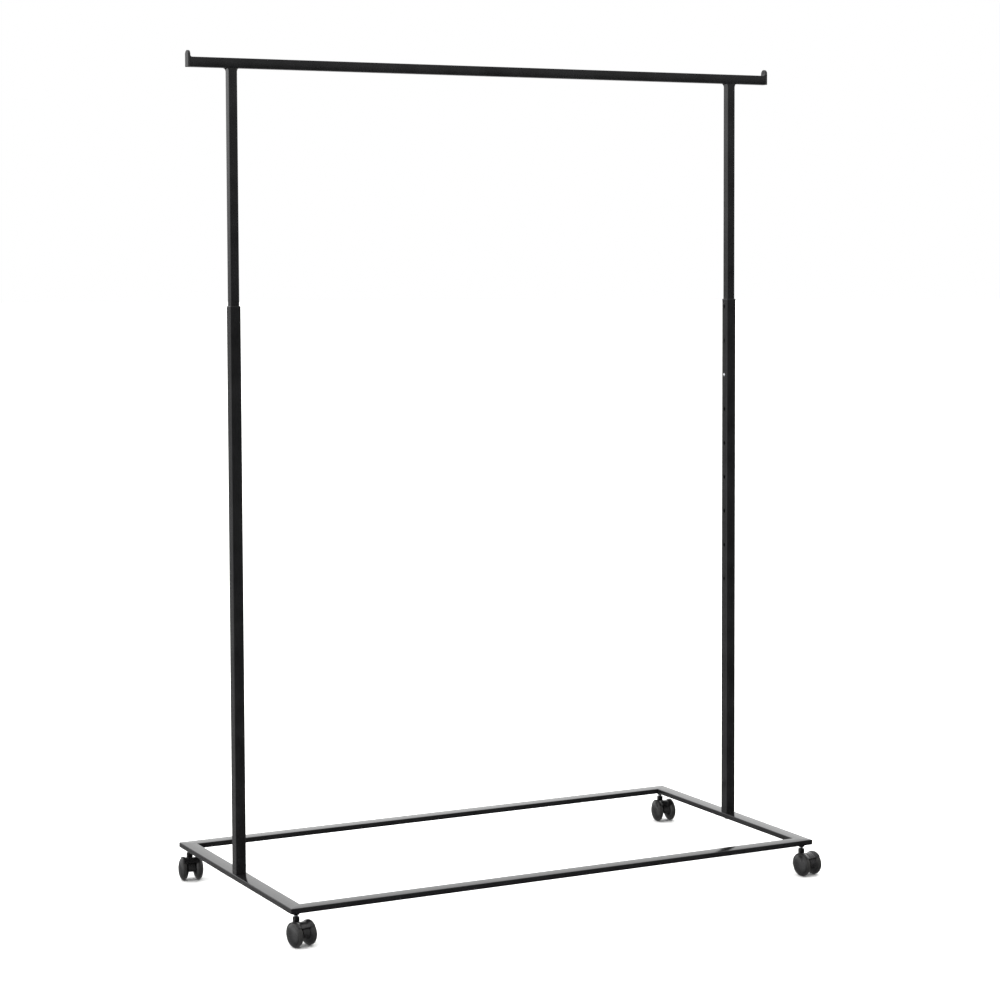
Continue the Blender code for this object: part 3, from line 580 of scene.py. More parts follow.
def tube_tree(finish):
    """A rectangular tube about Z, open at both ends. Its ends can be mitred towards its +Y edge."""
    tree, given = start_tree("rounded_tube", [
        ("Width", "NodeSocketFloat", 0.02), ("Depth", "NodeSocketFloat", 0.02),
        ("Length", "NodeSocketFloat", 1.0), ("Wall", "NodeSocketFloat", 0.0015),
        ("Corner", "NodeSocketFloat", 0.002), ("Bore Corner", "NodeSocketFloat", 0.0005),
        ("Corner Steps", "NodeSocketInt", 6), ("Mitre", "NodeSocketFloat", 0.0)])
    twice = compute(tree, "MULTIPLY", given["Wall"], 2.0)
    outlines = []
    for shrink, radius in ((0.0, given["Corner"]), (twice, given["Bore Corner"])):
        box = add_node(tree, "GeometryNodeCurvePrimitiveQuadrilateral", inputs={
            "Width": compute(tree, "SUBTRACT", given["Width"], shrink),
            "Height": compute(tree, "SUBTRACT", given["Depth"], shrink)})
        outlines.append(add_node(tree, "GeometryNodeFilletCurve", {"mode": "POLY"}, {
            "Curve": box.outputs["Curve"], "Count": given["Corner Steps"], "Radius": radius,
            "Limit Radius": True}).outputs["Curve"])
    joined = add_node(tree, "GeometryNodeJoinGeometry")
    for outline in outlines:
        tree.links.new(outline, joined.inputs["Geometry"])
    section = add_node(tree, "GeometryNodeFillCurve", {"mode": "TRIANGLES"},
                       {"Curve": joined.outputs["Geometry"]}).outputs["Mesh"]
    pulled = add_node(tree, "GeometryNodeExtrudeMesh", {"mode": "FACES"}, {
        "Mesh": section, "Offset": combine_xyz(tree, z=given["Length"]), "Offset Scale": 1.0,
        "Individual": False}).outputs["Mesh"]
    foot = add_node(tree, "GeometryNodeFlipFaces", inputs={"Mesh": section}).outputs["Mesh"]
    both = add_node(tree, "GeometryNodeJoinGeometry")
    tree.links.new(pulled, both.inputs["Geometry"])
    tree.links.new(foot, both.inputs["Geometry"])
    whole = add_node(tree, "GeometryNodeMergeByDistance", inputs={
        "Geometry": both.outputs["Geometry"], "Distance": 1e-6}).outputs["Geometry"]
    centred = add_node(tree, "GeometryNodeSetPosition", inputs={
        "Geometry": whole,
        "Offset": combine_xyz(tree, z=compute(tree, "MULTIPLY", given["Length"], -0.5))})
    place = add_node(tree, "ShaderNodeSeparateXYZ",
                     inputs={"Vector": add_node(tree, "GeometryNodeInputPosition").outputs["Position"]})
    lean = compute(tree, "MULTIPLY", compute(tree, "SIGN", place.outputs["Z"]),
                   compute(tree, "MULTIPLY", place.outputs["Y"], given["Mitre"]))
    mitred = add_node(tree, "GeometryNodeSetPosition", inputs={
        "Geometry": centred.outputs["Geometry"], "Offset": combine_xyz(tree, z=lean)})
    return finish_tree(tree, mitred.outputs["Geometry"], material_for(finish))


def punch_tree(finish):
    """A row of round holes, spaced evenly downwards, punched through the wall on a tube's X side."""
    tree, given = start_tree("punched_row", [
        ("Tube", "NodeSocketGeometry", None), ("Count", "NodeSocketInt", 9),
        ("Pitch", "NodeSocketFloat", 0.0762), ("Wall X", "NodeSocketFloat", 0.01),
        ("First Z", "NodeSocketFloat", 0.5), ("Radius", "NodeSocketFloat", 0.0041),
        ("Reach", "NodeSocketFloat", 0.004), ("Sides", "NodeSocketInt", 40)])
    row = add_node(tree, "GeometryNodeMeshLine", {"mode": "OFFSET"}, {
        "Count": given["Count"],
        "Start Location": combine_xyz(tree, x=given["Wall X"], z=given["First Z"]),
        "Offset": combine_xyz(tree, z=compute(tree, "MULTIPLY", given["Pitch"], -1.0))})
    punch = add_node(tree, "GeometryNodeMeshCylinder", inputs={
        "Vertices": given["Sides"], "Radius": given["Radius"], "Depth": given["Reach"]})
    punches = add_node(tree, "GeometryNodeInstanceOnPoints", inputs={
        "Points": row.outputs["Mesh"], "Instance": punch.outputs["Mesh"],
        "Rotation": (0.0, math.pi / 2, 0.0)})
    real = add_node(tree, "GeometryNodeRealizeInstances", inputs={
        "Geometry": punches.outputs["Instances"]})
    cut = add_node(tree, "GeometryNodeMeshBoolean", {"operation": "DIFFERENCE", "solver": "EXACT"}, {
        "Mesh 1": given["Tube"], "Mesh 2": real.outputs["Geometry"]})
    return finish_tree(tree, cut.outputs["Mesh"], material_for(finish))


def thread_tree(finish):
    """A screw thread: a triangular ridge that follows a helix round Z, on a plain core."""
    tree, given = start_tree("screw_thread", [
        ("Radius", "NodeSocketFloat", 0.004), ("Length", "NodeSocketFloat", 0.01),
        ("Pitch", "NodeSocketFloat", 0.00125), ("Depth", "NodeSocketFloat", 0.0005)])
    root = compute(tree, "SUBTRACT", given["Radius"], given["Depth"])
    turns = compute(tree, "DIVIDE", compute(tree, "SUBTRACT", given["Length"], given["Pitch"]),
                    given["Pitch"])
    helix = add_node(tree, "GeometryNodeCurveSpiral", inputs={
        "Resolution": 40, "Rotations": turns, "Start Radius": root, "End Radius": root,
        "Height": compute(tree, "SUBTRACT", given["Length"], given["Pitch"])})
    ridge = add_node(tree, "GeometryNodeCurvePrimitiveCircle", {"mode": "RADIUS"}, {
        "Resolution": 4, "Radius": given["Depth"]})
    wound = add_node(tree, "GeometryNodeCurveToMesh", inputs={
        "Curve": helix.outputs["Curve"], "Profile Curve": ridge.outputs["Curve"], "Fill Caps": True})
    raised = add_node(tree, "GeometryNodeSetPosition", inputs={
        "Geometry": wound.outputs["Mesh"],
        "Offset": combine_xyz(tree, z=compute(tree, "MULTIPLY", given["Pitch"], 0.5))})
    core = add_node(tree, "GeometryNodeMeshCylinder", inputs={
        "Vertices": 40, "Radius": root, "Depth": given["Length"]})
    stood = add_node(tree, "GeometryNodeSetPosition", inputs={
        "Geometry": core.outputs["Mesh"],
        "Offset": combine_xyz(tree, z=compute(tree, "MULTIPLY", given["Length"], 0.5))})
    both = add_node(tree, "GeometryNodeJoinGeometry")
    tree.links.new(stood.outputs["Geometry"], both.inputs["Geometry"])
    tree.links.new(raised.outputs["Geometry"], both.inputs["Geometry"])
    return finish_tree(tree, both.outputs["Geometry"], material_for(finish))


def weld_tree(finish):
    """A weld bead along Y in the corner below a rail and beside a post: a concave fillet with ripples."""
    tree, given = start_tree("weld_bead", [
        ("Length", "NodeSocketFloat", 0.016), ("Leg", "NodeSocketFloat", 0.0055),
        ("Root", "NodeSocketFloat", 0.0008), ("Ripple", "NodeSocketFloat", 0.0022),
        ("Ripple Depth", "NodeSocketFloat", 0.00018)])
    sheet = add_node(tree, "GeometryNodeMeshGrid", inputs={
        "Size X": 1.0, "Size Y": 1.0, "Vertices X": 57, "Vertices Y": 13})
    # The grid's X becomes the way along the weld, and its Y the way round the fillet's quarter arc.
    place = add_node(tree, "ShaderNodeSeparateXYZ",
                     inputs={"Vector": add_node(tree, "GeometryNodeInputPosition").outputs["Position"]})
    along = compute(tree, "MULTIPLY", place.outputs["X"], given["Length"])
    angle = compute(tree, "MULTIPLY", compute(tree, "ADD", place.outputs["Y"], 0.5), math.pi / 2)
    wave = compute(tree, "SINE", compute(tree, "DIVIDE", compute(tree, "MULTIPLY", along, math.tau),
                                         given["Ripple"]))
    fade = compute(tree, "SINE", compute(tree, "MULTIPLY", angle, 2.0))
    swell = compute(tree, "MULTIPLY", compute(tree, "MULTIPLY", wave, given["Ripple Depth"]), fade)
    radius = compute(tree, "SUBTRACT", given["Leg"], swell)
    out = compute(tree, "SUBTRACT", given["Leg"], compute(tree, "MULTIPLY", radius,
                                                          compute(tree, "COSINE", angle)))
    down = compute(tree, "SUBTRACT", compute(tree, "MULTIPLY", radius,
                                             compute(tree, "SINE", angle)), given["Leg"])
    bent = add_node(tree, "GeometryNodeSetPosition", inputs={
        "Geometry": sheet.outputs["Mesh"], "Position": combine_xyz(tree, out, along, down)})
    # Pulling the face back to the corner closes the bead.
    back = add_node(tree, "GeometryNodeExtrudeMesh", {"mode": "FACES"}, {
        "Mesh": bent.outputs["Geometry"], "Offset Scale": 0.0,
        "Individual": False})
    corner = add_node(tree, "GeometryNodeSetPosition", inputs={
        "Geometry": back.outputs["Mesh"], "Selection": back.outputs["Top"],
        "Position": combine_xyz(tree, compute(tree, "MULTIPLY", given["Root"], -1.0),
                                add_node(tree, "ShaderNodeSeparateXYZ", inputs={
                                    "Vector": add_node(tree, "GeometryNodeInputPosition")
                                    .outputs["Position"]}).outputs["Y"],
                                given["Root"])})
    return finish_tree(tree, corner.outputs["Geometry"], material_for(finish))


# The pieces of the rack


class RackOperator:
    """What the rack's operators share."""

    bl_options = {"REGISTER", "UNDO"}


class RACK_OT_base_frame(RackOperator, bpy.types.Operator):
    """Make the four mitred flat tubes of the base"""

    bl_idname = "rack.base_frame"
    bl_label = "Base Frame"

    def execute(self, context):
        sizes = context.scene.rack_tubes
        tree = tube_tree("coating")
        section = size_of("front_base_rail")
        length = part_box("right_base_rail")[1].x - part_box("left_base_rail")[0].x
        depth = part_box("back_base_rail")[1].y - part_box("front_base_rail")[0].y
        # Each rail's own +Y edge is the outer edge of the base.
        rails = (("front_base_rail", length, math.pi), ("back_base_rail", length, 0),
                 ("left_base_rail", depth, math.pi / 2), ("right_base_rail", depth, -math.pi / 2))
        for node, reach, turn in rails:
            mesh = from_tree(tree, {
                "Width": section.z, "Depth": section.y, "Length": reach - section.y,
                "Wall": sizes.base_wall,
                "Corner": sizes.base_corner, "Corner Steps": sizes.corner_steps, "Mitre": 1.0})
            lie = Matrix.Rotation(turn, 4, "Z") @ Matrix.Rotation(math.pi / 2, 4, "Y")
            mesh.transform(Matrix.Translation(middle_of(node)) @ lie)
            finished(node + "_tube", mesh, "coating", "base", [node])
        return {"FINISHED"}


class RACK_OT_outer_uprights(RackOperator, bpy.types.Operator):
    """Make the outer uprights with their punched rows of height holes"""

    bl_idname = "rack.outer_uprights"
    bl_label = "Outer Uprights"

    def execute(self, context):
        sizes, holes = context.scene.rack_tubes, context.scene.rack_holes
        tube, punch = tube_tree("coating"), punch_tree("coating")
        for side, sign in SIDES:
            node = side + "_lower_tube"
            size, middle = size_of(node), middle_of(node)
            mesh = from_tree(tube, {
                "Width": size.x, "Depth": size.y, "Length": size.z, "Wall": sizes.outer_wall,
                "Corner": sizes.outer_corner, "Corner Steps": sizes.corner_steps})
            self.chamfer_top(mesh, size, sizes)
            mesh = from_tree(punch, {
                "Count": holes.count, "Pitch": holes.pitch, "Radius": holes.radius,
                "Wall X": -sign * (size.x - sizes.outer_wall) / 2,
                "First Z": size.z / 2 - holes.top_drop, "Reach": 2 * sizes.outer_wall,
                "Sides": sizes.hole_sides}, mesh)
            mesh = softened(mesh, sizes.edge_break)
            mesh.transform(Matrix.Translation(middle))
            finished(side + "_outer_upright", mesh, "coating", "base", [node], None)
        return {"FINISHED"}

    @staticmethod
    def chamfer_top(mesh, size, sizes):
        """Draw in the outside of the tube's top end."""
        work = bmesh.new()
        work.from_mesh(mesh)
        bore = size.x / 2 - sizes.outer_wall
        top = [edge for edge in work.edges
               if all(v.co.z > size.z / 2 - 1e-5 and max(abs(v.co.x), abs(v.co.y)) > bore + 1e-4
                      for v in edge.verts) and len(edge.link_faces) == 2
               and edge.calc_face_angle(0) > 1.2]
        bmesh.ops.bevel(work, geom=top, offset=sizes.top_chamfer, segments=1, affect="EDGES")
        work.to_mesh(mesh)
        work.free()


class RACK_OT_hang_frame(RackOperator, bpy.types.Operator):
    """Make the inner uprights, the hang rail and the welds between them"""

    bl_idname = "rack.hang_frame"
    bl_label = "Inner Uprights and Hang Rail"

    def execute(self, context):
        sizes, holes = context.scene.rack_tubes, context.scene.rack_holes
        tube, punch, weld = tube_tree("coating"), punch_tree("coating"), weld_tree("coating")
        rail_low, rail_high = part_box("hang_rail")
        rail = rail_high - rail_low
        mesh = from_tree(tube, {
            "Width": rail.z, "Depth": rail.y, "Length": rail.x, "Wall": sizes.inner_wall,
            "Corner": sizes.inner_corner, "Corner Steps": sizes.corner_steps})
        mesh.transform(Matrix.Translation(middle_of("hang_rail")) @ Matrix.Rotation(math.pi / 2, 4, "Y"))
        finished("hang_rail_tube", mesh, "coating", "hang_frame", ["hang_rail"])
        for side, sign in SIDES:
            node = side + "_upper_tube"
            low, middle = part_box(node)[0], middle_of(node)
            width = size_of(node).y
            # The tube runs up to the rail's underside, so that the weld closes the joint.
            length = rail_low.z - low.z
            button = middle_of(side + "_snap_button")
            mesh = from_tree(tube, {
                "Width": width, "Depth": width, "Length": length, "Wall": sizes.inner_wall,
                "Corner": sizes.inner_corner, "Corner Steps": sizes.corner_steps})
            mesh = from_tree(punch, {
                "Count": 1, "Radius": holes.radius, "Wall X": -sign * (width - sizes.inner_wall) / 2,
                "First Z": button.z - low.z - length / 2, "Reach": 2 * sizes.inner_wall,
                "Sides": sizes.hole_sides}, mesh)
            mesh = softened(mesh, sizes.edge_break)
            mesh.transform(Matrix.Translation((middle.x, middle.y, low.z + length / 2)))
            beads = []
            for way in (-1, 1):
                bead = from_tree(weld, {
                    "Length": width - 2 * sizes.edge_break, "Leg": sizes.weld_leg,
                    "Ripple": sizes.weld_ripple})
                # The bead's own corner is at its origin, with its legs along +X and down.
                turn = Matrix.Rotation(0 if way > 0 else math.pi, 4, "Z")
                spot = (middle.x + way * width / 2, middle.y, rail_low.z)
                bead.transform(Matrix.Translation(spot) @ turn)
                beads.append(bead)
            finished(side + "_inner_upright", mesh, "coating", "hang_frame", [node], None)
            finished(side + "_rail_weld", joined(beads), "coating", "hang_frame", [node], 60)
        return {"FINISHED"}


class RACK_OT_end_stops(RackOperator, bpy.types.Operator):
    """Make the moulded stops at both ends of the hang rail"""

    bl_idname = "rack.end_stops"
    bl_label = "End Stops"

    def execute(self, context):
        rail_low, rail_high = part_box("hang_rail")
        for side, sign in SIDES:
            node = side + "_end_stop"
            low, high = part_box(node)
            half = (high.y - low.y) / 2
            outer = high.x if sign > 0 else -low.x
            thickness = outer - rail_high.x
            outline = [(-half, low.z), (half, low.z)] + arc((0, high.z - half), (half, half), 0, 180, 32)
            plate = extruded(node, outline, thickness / 2, "X")
            plate = softened(plate, min(0.0011, thickness / 4), 40, 4)
            plate.transform(Matrix.Translation((thickness / 2, 0, 0)))
            # A small heel fillets the plate to the top of the rail.
            heel_radius = 0.7 * thickness
            heel = [(0.0001, rail_high.z)]
            heel += arc((-heel_radius, rail_high.z + heel_radius), (heel_radius, heel_radius), 0, -90, 8)[:-1]
            heel = extruded("heel", [(0.0004, rail_high.z + heel_radius)] + heel[1:]
                            + [(-heel_radius, rail_high.z), (0.0004, rail_high.z)], half * 0.86, "Y")
            mesh = joined([plate, heel])
            turn = Matrix.Rotation(0 if sign > 0 else math.pi, 4, "Z")
            mesh.transform(Matrix.Translation((sign * rail_high.x, middle_of("hang_rail").y, 0)) @ turn)
            finished(side + "_rail_stop", mesh, "cap", "hang_frame", [node], None)
        return {"FINISHED"}


class RACK_OT_height_buttons(RackOperator, bpy.types.Operator):
    """Make the spring buttons that lock the height, and the bent clips behind them"""

    bl_idname = "rack.height_buttons"
    bl_label = "Height Buttons"

    def execute(self, context):
        for side, sign in SIDES:
            node = side + "_snap_button"
            low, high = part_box(node)
            middle = (low + high) / 2
            flange = (high.z - low.z) / 2
            shank = context.scene.rack_holes.radius - 0.3 * MM
            tip = high.x - low.x
            dome = 0.55 * shank
            profile = [(0, 0), (flange - 0.2 * MM, 0), (flange, 0.2 * MM), (flange, 1.2 * MM),
                       (flange - 0.2 * MM, 1.4 * MM), (shank, 1.4 * MM)]
            profile += arc((0, tip - dome), (shank, dome), 0, 90, 14)
            mesh = turned(node, profile, 48)
            start = low.x if sign < 0 else high.x
            mesh.transform(Matrix.Translation((start, middle.y, middle.z))
                           @ Matrix.Rotation(-sign * math.pi / 2, 4, "Y"))
            finished(side + "_height_button", mesh, "chrome", side + "_button", [node])
            self.make_clip(side, sign)
        return {"FINISHED"}

    @staticmethod
    def make_clip(side, sign):
        """A strip of spring steel folded into a narrow U, with its bend at the bottom."""
        node = side + "_button_spring"
        low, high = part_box(node)
        thickness = 0.8 * MM
        bend = (high.x - low.x) / 2
        centre = (0, low.z + bend)
        outline = [(bend, high.z), (bend, centre[1])]
        outline += arc(centre, (bend, bend), 0, -180, 20)[1:] + [(-bend, high.z)]
        outline += [(thickness - bend, high.z)]
        outline += arc(centre, (bend - thickness, bend - thickness), -180, 0, 20)
        outline += [(bend - thickness, high.z)]
        strip = extruded(node, outline, (high.y - low.y) / 2, "Y")
        strip.transform(Matrix.Translation(((low.x + high.x) / 2, (low.y + high.y) / 2, 0)))
        clip = finished(side + "_bent_clip", strip, "spring", "hang_frame", [node])
        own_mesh(clip)


class RACK_OT_feet(RackOperator, bpy.types.Operator):
    """Make the socket-head bolts below the uprights and plate the plugs that they screw into"""

    bl_idname = "rack.feet"
    bl_label = "Bolted Feet"

    def execute(self, context):
        for side, _sign in SIDES:
            node = side + "_foot_bolt"
            low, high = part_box(node)
            middle = (low + high) / 2
            head = (high.x - low.x) / 2
            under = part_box(side + "_base_rail")[0].z - low.z - 0.3 * MM
            shank = 4 * MM
            profile = [(0, 0), (head - 0.6 * MM, 0)]
            profile += arc((head - 0.6 * MM, 0.6 * MM), (0.6 * MM, 0.6 * MM), -90, 0, 5)[1:]
            profile += [(head, under), (shank, under), (shank, high.z - low.z), (0, high.z - low.z)]
            mesh = turned(node, profile, 48)
            key = turned("key", [(0, -1 * MM), (2.9 * MM, -1 * MM), (2.9 * MM, 2.5 * MM), (0, 2.5 * MM)], 6)
            mesh = combined(mesh, key, "DIFFERENCE")
            mesh.transform(Matrix.Translation((middle.x, middle.y, low.z)))
            finished(side + "_socket_bolt", mesh, "zinc", "base", [node])
            dress(side + "_foot_plug", "zinc")
        return {"FINISHED"}


class RACK_OT_caster_stems(RackOperator, bpy.types.Operator):
    """Make the threaded caster stems and the hexagon nuts on the base"""

    bl_idname = "rack.caster_stems"
    bl_label = "Stems and Nuts"

    def execute(self, context):
        sizes = context.scene.rack_casters
        thread = thread_tree("zinc")
        for corner in CORNERS:
            foot = caster_facts(corner)[0]
            low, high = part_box(corner + "_caster_stem")
            radius = (high.x - low.x) / 2
            mesh = from_tree(thread, {
                "Radius": radius, "Length": high.z - low.z, "Pitch": sizes.thread_pitch,
                "Depth": sizes.thread_depth})
            mesh.transform(Matrix.Translation((foot.x, foot.y, low.z)))
            finished(corner + "_threaded_stem", mesh, "zinc", "base", [corner + "_caster_stem"], 50)
            self.make_nut(corner, foot, radius)
        return {"FINISHED"}

    @staticmethod
    def make_nut(corner, foot, stem_radius):
        """A hexagon nut: a six-sided prism cut by a cone below, with a bore for the stem."""
        low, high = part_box(corner + "_stem_nut")
        height = high.z - low.z
        corner_radius = max(high.x - low.x, high.y - low.y) / 2
        bore = stem_radius + 0.1 * MM
        hexagon = turned("hexagon", [(0, 0), (corner_radius, 0), (corner_radius, height), (0, height)], 6)
        cone = turned("cone", [(0, 0), (corner_radius - 2.2 * MM, 0), (corner_radius + 0.3 * MM, 2.5 * MM),
                               (corner_radius + 0.3 * MM, 2 * height), (0, 2 * height)], 48)
        nut = combined(hexagon, cone, "INTERSECT")
        drill = turned("drill", [(0, -height), (bore, -height), (bore, 2 * height), (0, 2 * height)], 40)
        nut = softened(combined(nut, drill, "DIFFERENCE"), 0.25 * MM, 20, 2)
        nut.transform(Matrix.Translation((foot.x, foot.y, low.z)))
        finished(corner + "_hexagon_nut", nut, "coating", "base", [corner + "_stem_nut"], None)


class RACK_OT_hoods(RackOperator, bpy.types.Operator):
    """Make the caster hoods: a fender over both wheels, a web between them and a neck"""

    bl_idname = "rack.hoods"
    bl_label = "Caster Hoods"

    def execute(self, context):
        sizes = context.scene.rack_casters
        for corner in CORNERS:
            foot, axle, swing = caster_facts(corner)
            trail = math.hypot(axle.x - foot.x, axle.y - foot.y)
            mesh = self.hood_mesh(sizes, axle.z, trail, self.wheel_plane(corner))
            mesh.transform(Matrix.Translation(axle) @ Matrix.Rotation(swing, 4, "Z"))
            finished(corner + "_hood", mesh, "hood", corner + "_caster", [corner + "_caster_hood"], None)
            dress(corner + "_axle", "zinc")
        return {"FINISHED"}

    @staticmethod
    def wheel_plane(corner):
        """From the caster's middle to where a wheel is widest."""
        left = Vector(JOINTS[corner + "_roll_l"]["pos_m"])
        right = Vector(JOINTS[corner + "_roll_r"]["pos_m"])
        return (right - left).length / 2

    @staticmethod
    def cover_line(sizes, offset, radius, plane):
        """Half of the cover's section, this far outside the wheel: (distance from the middle,
        radius) pairs from its side edge, over the tread and into the valley between the wheels."""
        edge, top, steps = plane + sizes.tread_width / 2, radius + offset, 14
        line = arc((edge, 0), (sizes.dome_reach + offset, top), math.degrees(sizes.side_angle), 90, 5)
        for step in range(1, steps + 1):
            across = edge + (sizes.web_half - edge) * step / steps
            line.append((across, top - sizes.valley * (1 - math.cos(math.pi * step / steps)) / 2))
        return line

    @classmethod
    def hood_mesh(cls, sizes, wheel_radius, trail, plane):
        """A hood about its axle, with the stem's side towards +Y."""
        outer = cls.cover_line(sizes, sizes.fender_gap + sizes.fender_wall, wheel_radius, plane)
        inner = cls.cover_line(sizes, sizes.fender_gap, wheel_radius, plane)
        section = outer + [(-x, r) for x, r in reversed(outer)]
        section += [(-x, r) for x, r in inner] + inner[::-1]
        work = bmesh.new()
        face = work.faces.new([work.verts.new((x, 0, r)) for x, r in section])
        bmesh.ops.rotate(work, verts=work.verts, matrix=Matrix.Rotation(sizes.back_angle, 3, "X"))
        bmesh.ops.spin(work, geom=[face] + list(face.edges) + list(face.verts), cent=(0, 0, 0),
                       axis=(1, 0, 0), angle=-(sizes.back_angle + sizes.front_angle), steps=44)
        fender = tidy_mesh(work, "fender")
        middle_radius = wheel_radius + sizes.fender_gap + sizes.fender_wall / 2 - sizes.valley
        set_back = 4
        start = 90 + math.degrees(sizes.back_angle) - set_back
        finish = 90 - math.degrees(sizes.front_angle) + set_back
        outline = arc((0, 0), (middle_radius, middle_radius), start, finish, 32)
        shin_low = 90 + math.degrees(sizes.shin_angle)
        outline += arc((0, 0), (sizes.web_radius, sizes.web_radius), finish, shin_low - 360, 32)
        outline += arc((0, 0), (sizes.shin_radius, sizes.shin_radius), shin_low, start, 12)
        hood = combined(fender, extruded("web", outline, sizes.web_half, "X"), "UNION")
        inside = plane - sizes.tread_width / 2
        reach = inside - sizes.inner_face + sizes.wheel_room
        dome = arc((0, inside), (wheel_radius + sizes.wheel_room / 2, reach), -90, 0, 24)
        for way in (-1, 1):
            room = turned("room", [(0, inside - reach)] + dome[1:] + [(0, inside)], 71)
            room.transform(Matrix.Rotation(way * math.pi / 2, 4, "Y"))
            hood = combined(hood, room, "DIFFERENCE")
        bore = turned("bore", [(0, -12 * MM), (3.3 * MM, -12 * MM), (3.3 * MM, 12 * MM), (0, 12 * MM)], 40)
        bore.transform(Matrix.Rotation(math.pi / 2, 4, "Y"))
        hood = combined(hood, bore, "DIFFERENCE")
        top = sizes.neck_top - wheel_radius
        meets = math.sqrt(middle_radius ** 2 - trail ** 2)
        fillet = sizes.neck_fillet
        neck = sizes.neck_radius
        profile = [(0, 0), (sizes.neck_foot, 0), (neck, meets - 1 * MM),
                   (neck + fillet * 0.8, meets - 1 * MM)]
        profile += [(neck + fillet - x, y) for x, y in
                    arc((0, meets + fillet * 1.25), (fillet, fillet * 1.25), -90, 0, 10)[1:]]
        edge = 0.8 * MM
        profile += arc((neck - edge, top - edge), (edge, edge), 0, 90, 5) + [(0, top)]
        stub = turned("neck", profile, 56)
        stub.transform(Matrix.Translation((0, trail, 0)))
        hood = combined(hood, stub, "UNION")
        socket = turned("socket", [(0, top - 22.3 * MM), (4.3 * MM, top - 22.3 * MM),
                                   (4.3 * MM, top + 4 * MM), (0, top + 4 * MM)], 40)
        socket.transform(Matrix.Translation((0, trail, 0)))
        hood = combined(hood, socket, "DIFFERENCE")
        return softened(hood, 0.35 * MM, 34, 2)


class RACK_OT_wheels(RackOperator, bpy.types.Operator):
    """Make the domed twin wheels with their bores and scuffed treads"""

    bl_idname = "rack.wheels"
    bl_label = "Wheels"

    def execute(self, context):
        sizes = context.scene.rack_casters
        for corner in CORNERS:
            _foot, axle, swing = caster_facts(corner)
            plane = RACK_OT_hoods.wheel_plane(corner)
            for side, way in (("l", -1), ("r", 1)):
                mesh = self.wheel_mesh(sizes, axle.z, plane)
                # Scuffing is strongest round the tread and fades up the dome.
                values = [min(1, max(0, (math.hypot(v.co.x, v.co.y) / axle.z - 0.86) / 0.12))
                          for v in mesh.vertices]
                mesh.attributes.new("tread_wear", "FLOAT", "POINT").data.foreach_set("value", values)
                mesh.transform(Matrix.Translation(axle) @ Matrix.Rotation(swing, 4, "Z")
                               @ Matrix.Rotation(way * math.pi / 2, 4, "Y"))
                finished(corner + "_twin_wheel_" + side, mesh, "wheel", corner + "_wheel_" + side,
                         [corner + "_wheel_" + side])
        return {"FINISHED"}

    @staticmethod
    def wheel_mesh(sizes, radius, plane):
        """A wheel about Z, with the caster's middle at zero and its outer dome upwards."""
        bore, bore_end = 3.3 * MM, 19.3 * MM
        inside, outside = plane - sizes.tread_width / 2, plane + sizes.tread_width / 2
        start = -math.degrees(math.acos(bore / radius))
        profile = [(0, bore_end), (bore, bore_end)]
        profile += arc((0, inside), (radius, inside - sizes.inner_face), start, 0, 30)
        # A fine groove parts the tread from the domed face.
        dome = arc((0, outside), (radius, sizes.dome_reach), 0, 90, 40)
        groove_at, groove = 10, 0.3 * MM
        for index in (groove_at, groove_at + 1):
            r, z = dome[index]
            dome[index] = (r - groove, z - groove * 0.6)
        return turned("wheel", profile + dome, sizes.rim_sides)


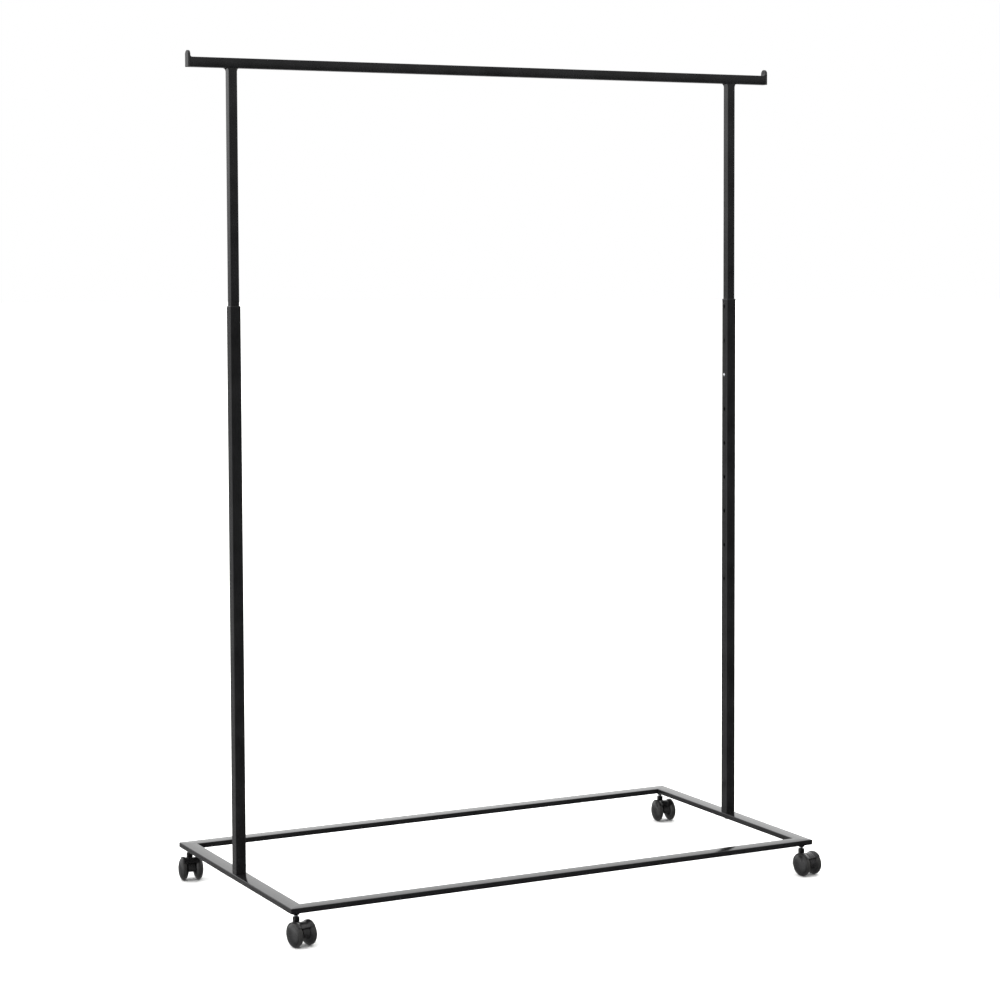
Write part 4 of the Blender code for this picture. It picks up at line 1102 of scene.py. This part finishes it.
class RACK_OT_stage(RackOperator, bpy.types.Operator):
    """Make the floor, the soft studio light and the camera"""

    bl_idname = "rack.stage"
    bl_label = "Stage"

    def execute(self, context):
        stage = context.scene.rack_stage
        self.make_floor(stage)
        self.make_lights(stage)
        self.make_surroundings(context, stage)
        self.make_camera(context, stage)
        context.scene.view_settings.view_transform = "Standard"
        return {"FINISHED"}

    @staticmethod
    def make_floor(stage):
        """A wide pale floor of smooth painted board."""
        work = bmesh.new()
        bmesh.ops.create_circle(work, cap_ends=True, segments=96, radius=60)
        floor = bpy.data.objects.new("studio_floor", tidy_mesh(work, "studio_floor"))
        material, tree, shader = start_material("matt_paint_rolled", 0.0, 1.45)
        mottle = noise_of(tree, 400, 3)
        shade = linear(stage.floor_colour)
        tree.links.new(colour_mix(tree, between(tree, mottle, 0, 1), shade,
                                  tuple(c * 0.985 for c in shade[:3]) + (1.0,)),
                       shader.inputs["Base Color"])
        shader.inputs["Roughness"].default_value = 0.9
        floor.data.materials.append(material)
        # Gloss on the rack mirrors the studio's own light, not the floor's far edge.
        floor.visible_glossy = False
        bpy.context.scene.collection.objects.link(floor)

    @staticmethod
    def make_lights(stage):
        """One broad soft light from overhead, as from a large diffuser."""
        lamp = bpy.data.lights.new("overhead_diffuser", "SUN")
        lamp.energy = stage.key_strength
        lamp.angle = math.radians(120)
        light = bpy.data.objects.new("overhead_diffuser", lamp)
        light.rotation_euler = (math.radians(-14), math.radians(-8), 0)
        light.visible_glossy = False
        bpy.context.scene.collection.objects.link(light)

    @staticmethod
    def make_surroundings(context, stage):
        """Studio walls: white behind the rack, dimmer in front of it and near the floor."""
        world = bpy.data.worlds.new("studio_walls")
        context.scene.world = world
        world.use_nodes = True
        tree = world.node_tree
        tree.nodes.clear()
        way = add_node(tree, "ShaderNodeTexCoord").outputs["Generated"]
        parts = add_node(tree, "ShaderNodeSeparateXYZ", inputs={"Vector": way})
        walls = add_node(tree, "ShaderNodeMapRange", {"interpolation_type": "SMOOTHSTEP"}, {
            "Value": parts.outputs["Y"], "From Min": -0.75, "From Max": 0.6,
            "To Min": stage.front_glow, "To Max": stage.back_glow}).outputs["Result"]
        rise = add_node(tree, "ShaderNodeMapRange", {"interpolation_type": "SMOOTHSTEP"}, {
            "Value": parts.outputs["Z"], "From Min": -0.05, "From Max": 0.12,
            "To Min": stage.floor_glow, "To Max": 1.0}).outputs["Result"]
        panel = add_node(tree, "ShaderNodeMapRange", {"interpolation_type": "SMOOTHSTEP"}, {
            "Value": parts.outputs["X"], "From Min": -0.7, "From Max": -0.98,
            "To Min": 0.0, "To Max": stage.side_glow}).outputs["Result"]
        glow = compute(tree, "MULTIPLY_ADD", walls, rise, panel)
        seen = add_node(tree, "ShaderNodeLightPath").outputs["Is Camera Ray"]
        level = add_node(tree, "ShaderNodeMix", {"data_type": "FLOAT"}, {
            0: seen, 2: glow, 3: 1.0}).outputs[0]
        lit = add_node(tree, "ShaderNodeBackground", inputs={
            "Color": (1.0, 1.0, 1.0, 1.0), "Strength": level})
        add_node(tree, "ShaderNodeOutputWorld", inputs={"Surface": lit.outputs["Background"]})

    @staticmethod
    def make_camera(context, stage):
        """The camera, placed by its yaw, pitch and roll."""
        lens = bpy.data.cameras.new("camera")
        lens.sensor_width = 36
        lens.lens = stage.lens
        lens.shift_y = stage.lens_shift
        lens.clip_end = 200
        camera = bpy.data.objects.new("camera", lens)
        camera.matrix_world = (Matrix.Translation(stage.camera_place)
                               @ Matrix.Rotation(-stage.camera_yaw, 4, "Z")
                               @ Matrix.Rotation(math.pi / 2 - stage.camera_pitch, 4, "X")
                               @ Matrix.Rotation(stage.camera_roll, 4, "Z"))
        context.scene.collection.objects.link(camera)
        context.scene.camera = camera


class RACK_PT_pieces(bpy.types.Panel):
    """Lists the rack's pieces and its settings in the sidebar"""

    bl_idname = "RACK_PT_pieces"
    bl_label = "Garment Rack"
    bl_space_type = "VIEW_3D"
    bl_region_type = "UI"
    bl_category = "Garment Rack"

    def draw(self, context):
        layout = self.layout
        layout.label(text="Pieces")
        for operator in OPERATORS:
            layout.operator(operator.bl_idname)
        for name, (group, title) in SETTINGS.items():
            layout.label(text=title)
            column = layout.column(align=True)
            for key in group.__annotations__:
                column.prop(getattr(context.scene, name), key)


OPERATORS = (RACK_OT_base_frame, RACK_OT_outer_uprights, RACK_OT_hang_frame, RACK_OT_end_stops,
             RACK_OT_height_buttons, RACK_OT_feet, RACK_OT_caster_stems, RACK_OT_hoods,
             RACK_OT_wheels, RACK_OT_stage)
SETTINGS = {
    "rack_tubes": (RackTubeSizes, "Tubes"),
    "rack_holes": (RackButtonHoles, "Height holes"),
    "rack_casters": (RackCasterSizes, "Casters"),
    "rack_finishes": (RackFinishes, "Finishes"),
    "rack_stage": (RackStage, "Stage"),
}


def register():
    for name, (group, _title) in SETTINGS.items():
        bpy.utils.register_class(group)
        setattr(bpy.types.Scene, name, PointerProperty(type=group))
    for shown in OPERATORS + (RACK_PT_pieces,):
        bpy.utils.register_class(shown)


def unregister():
    for shown in (RACK_PT_pieces,) + OPERATORS[::-1]:
        bpy.utils.unregister_class(shown)
    for name, (group, _title) in SETTINGS.items():
        delattr(bpy.types.Scene, name)
        bpy.utils.unregister_class(group)


def main():
    """Make every piece."""
    register()
    for operator in OPERATORS:
        group, action = operator.bl_idname.split(".")
        getattr(getattr(bpy.ops, group), action)()


if __name__ == "__main__":
    main()
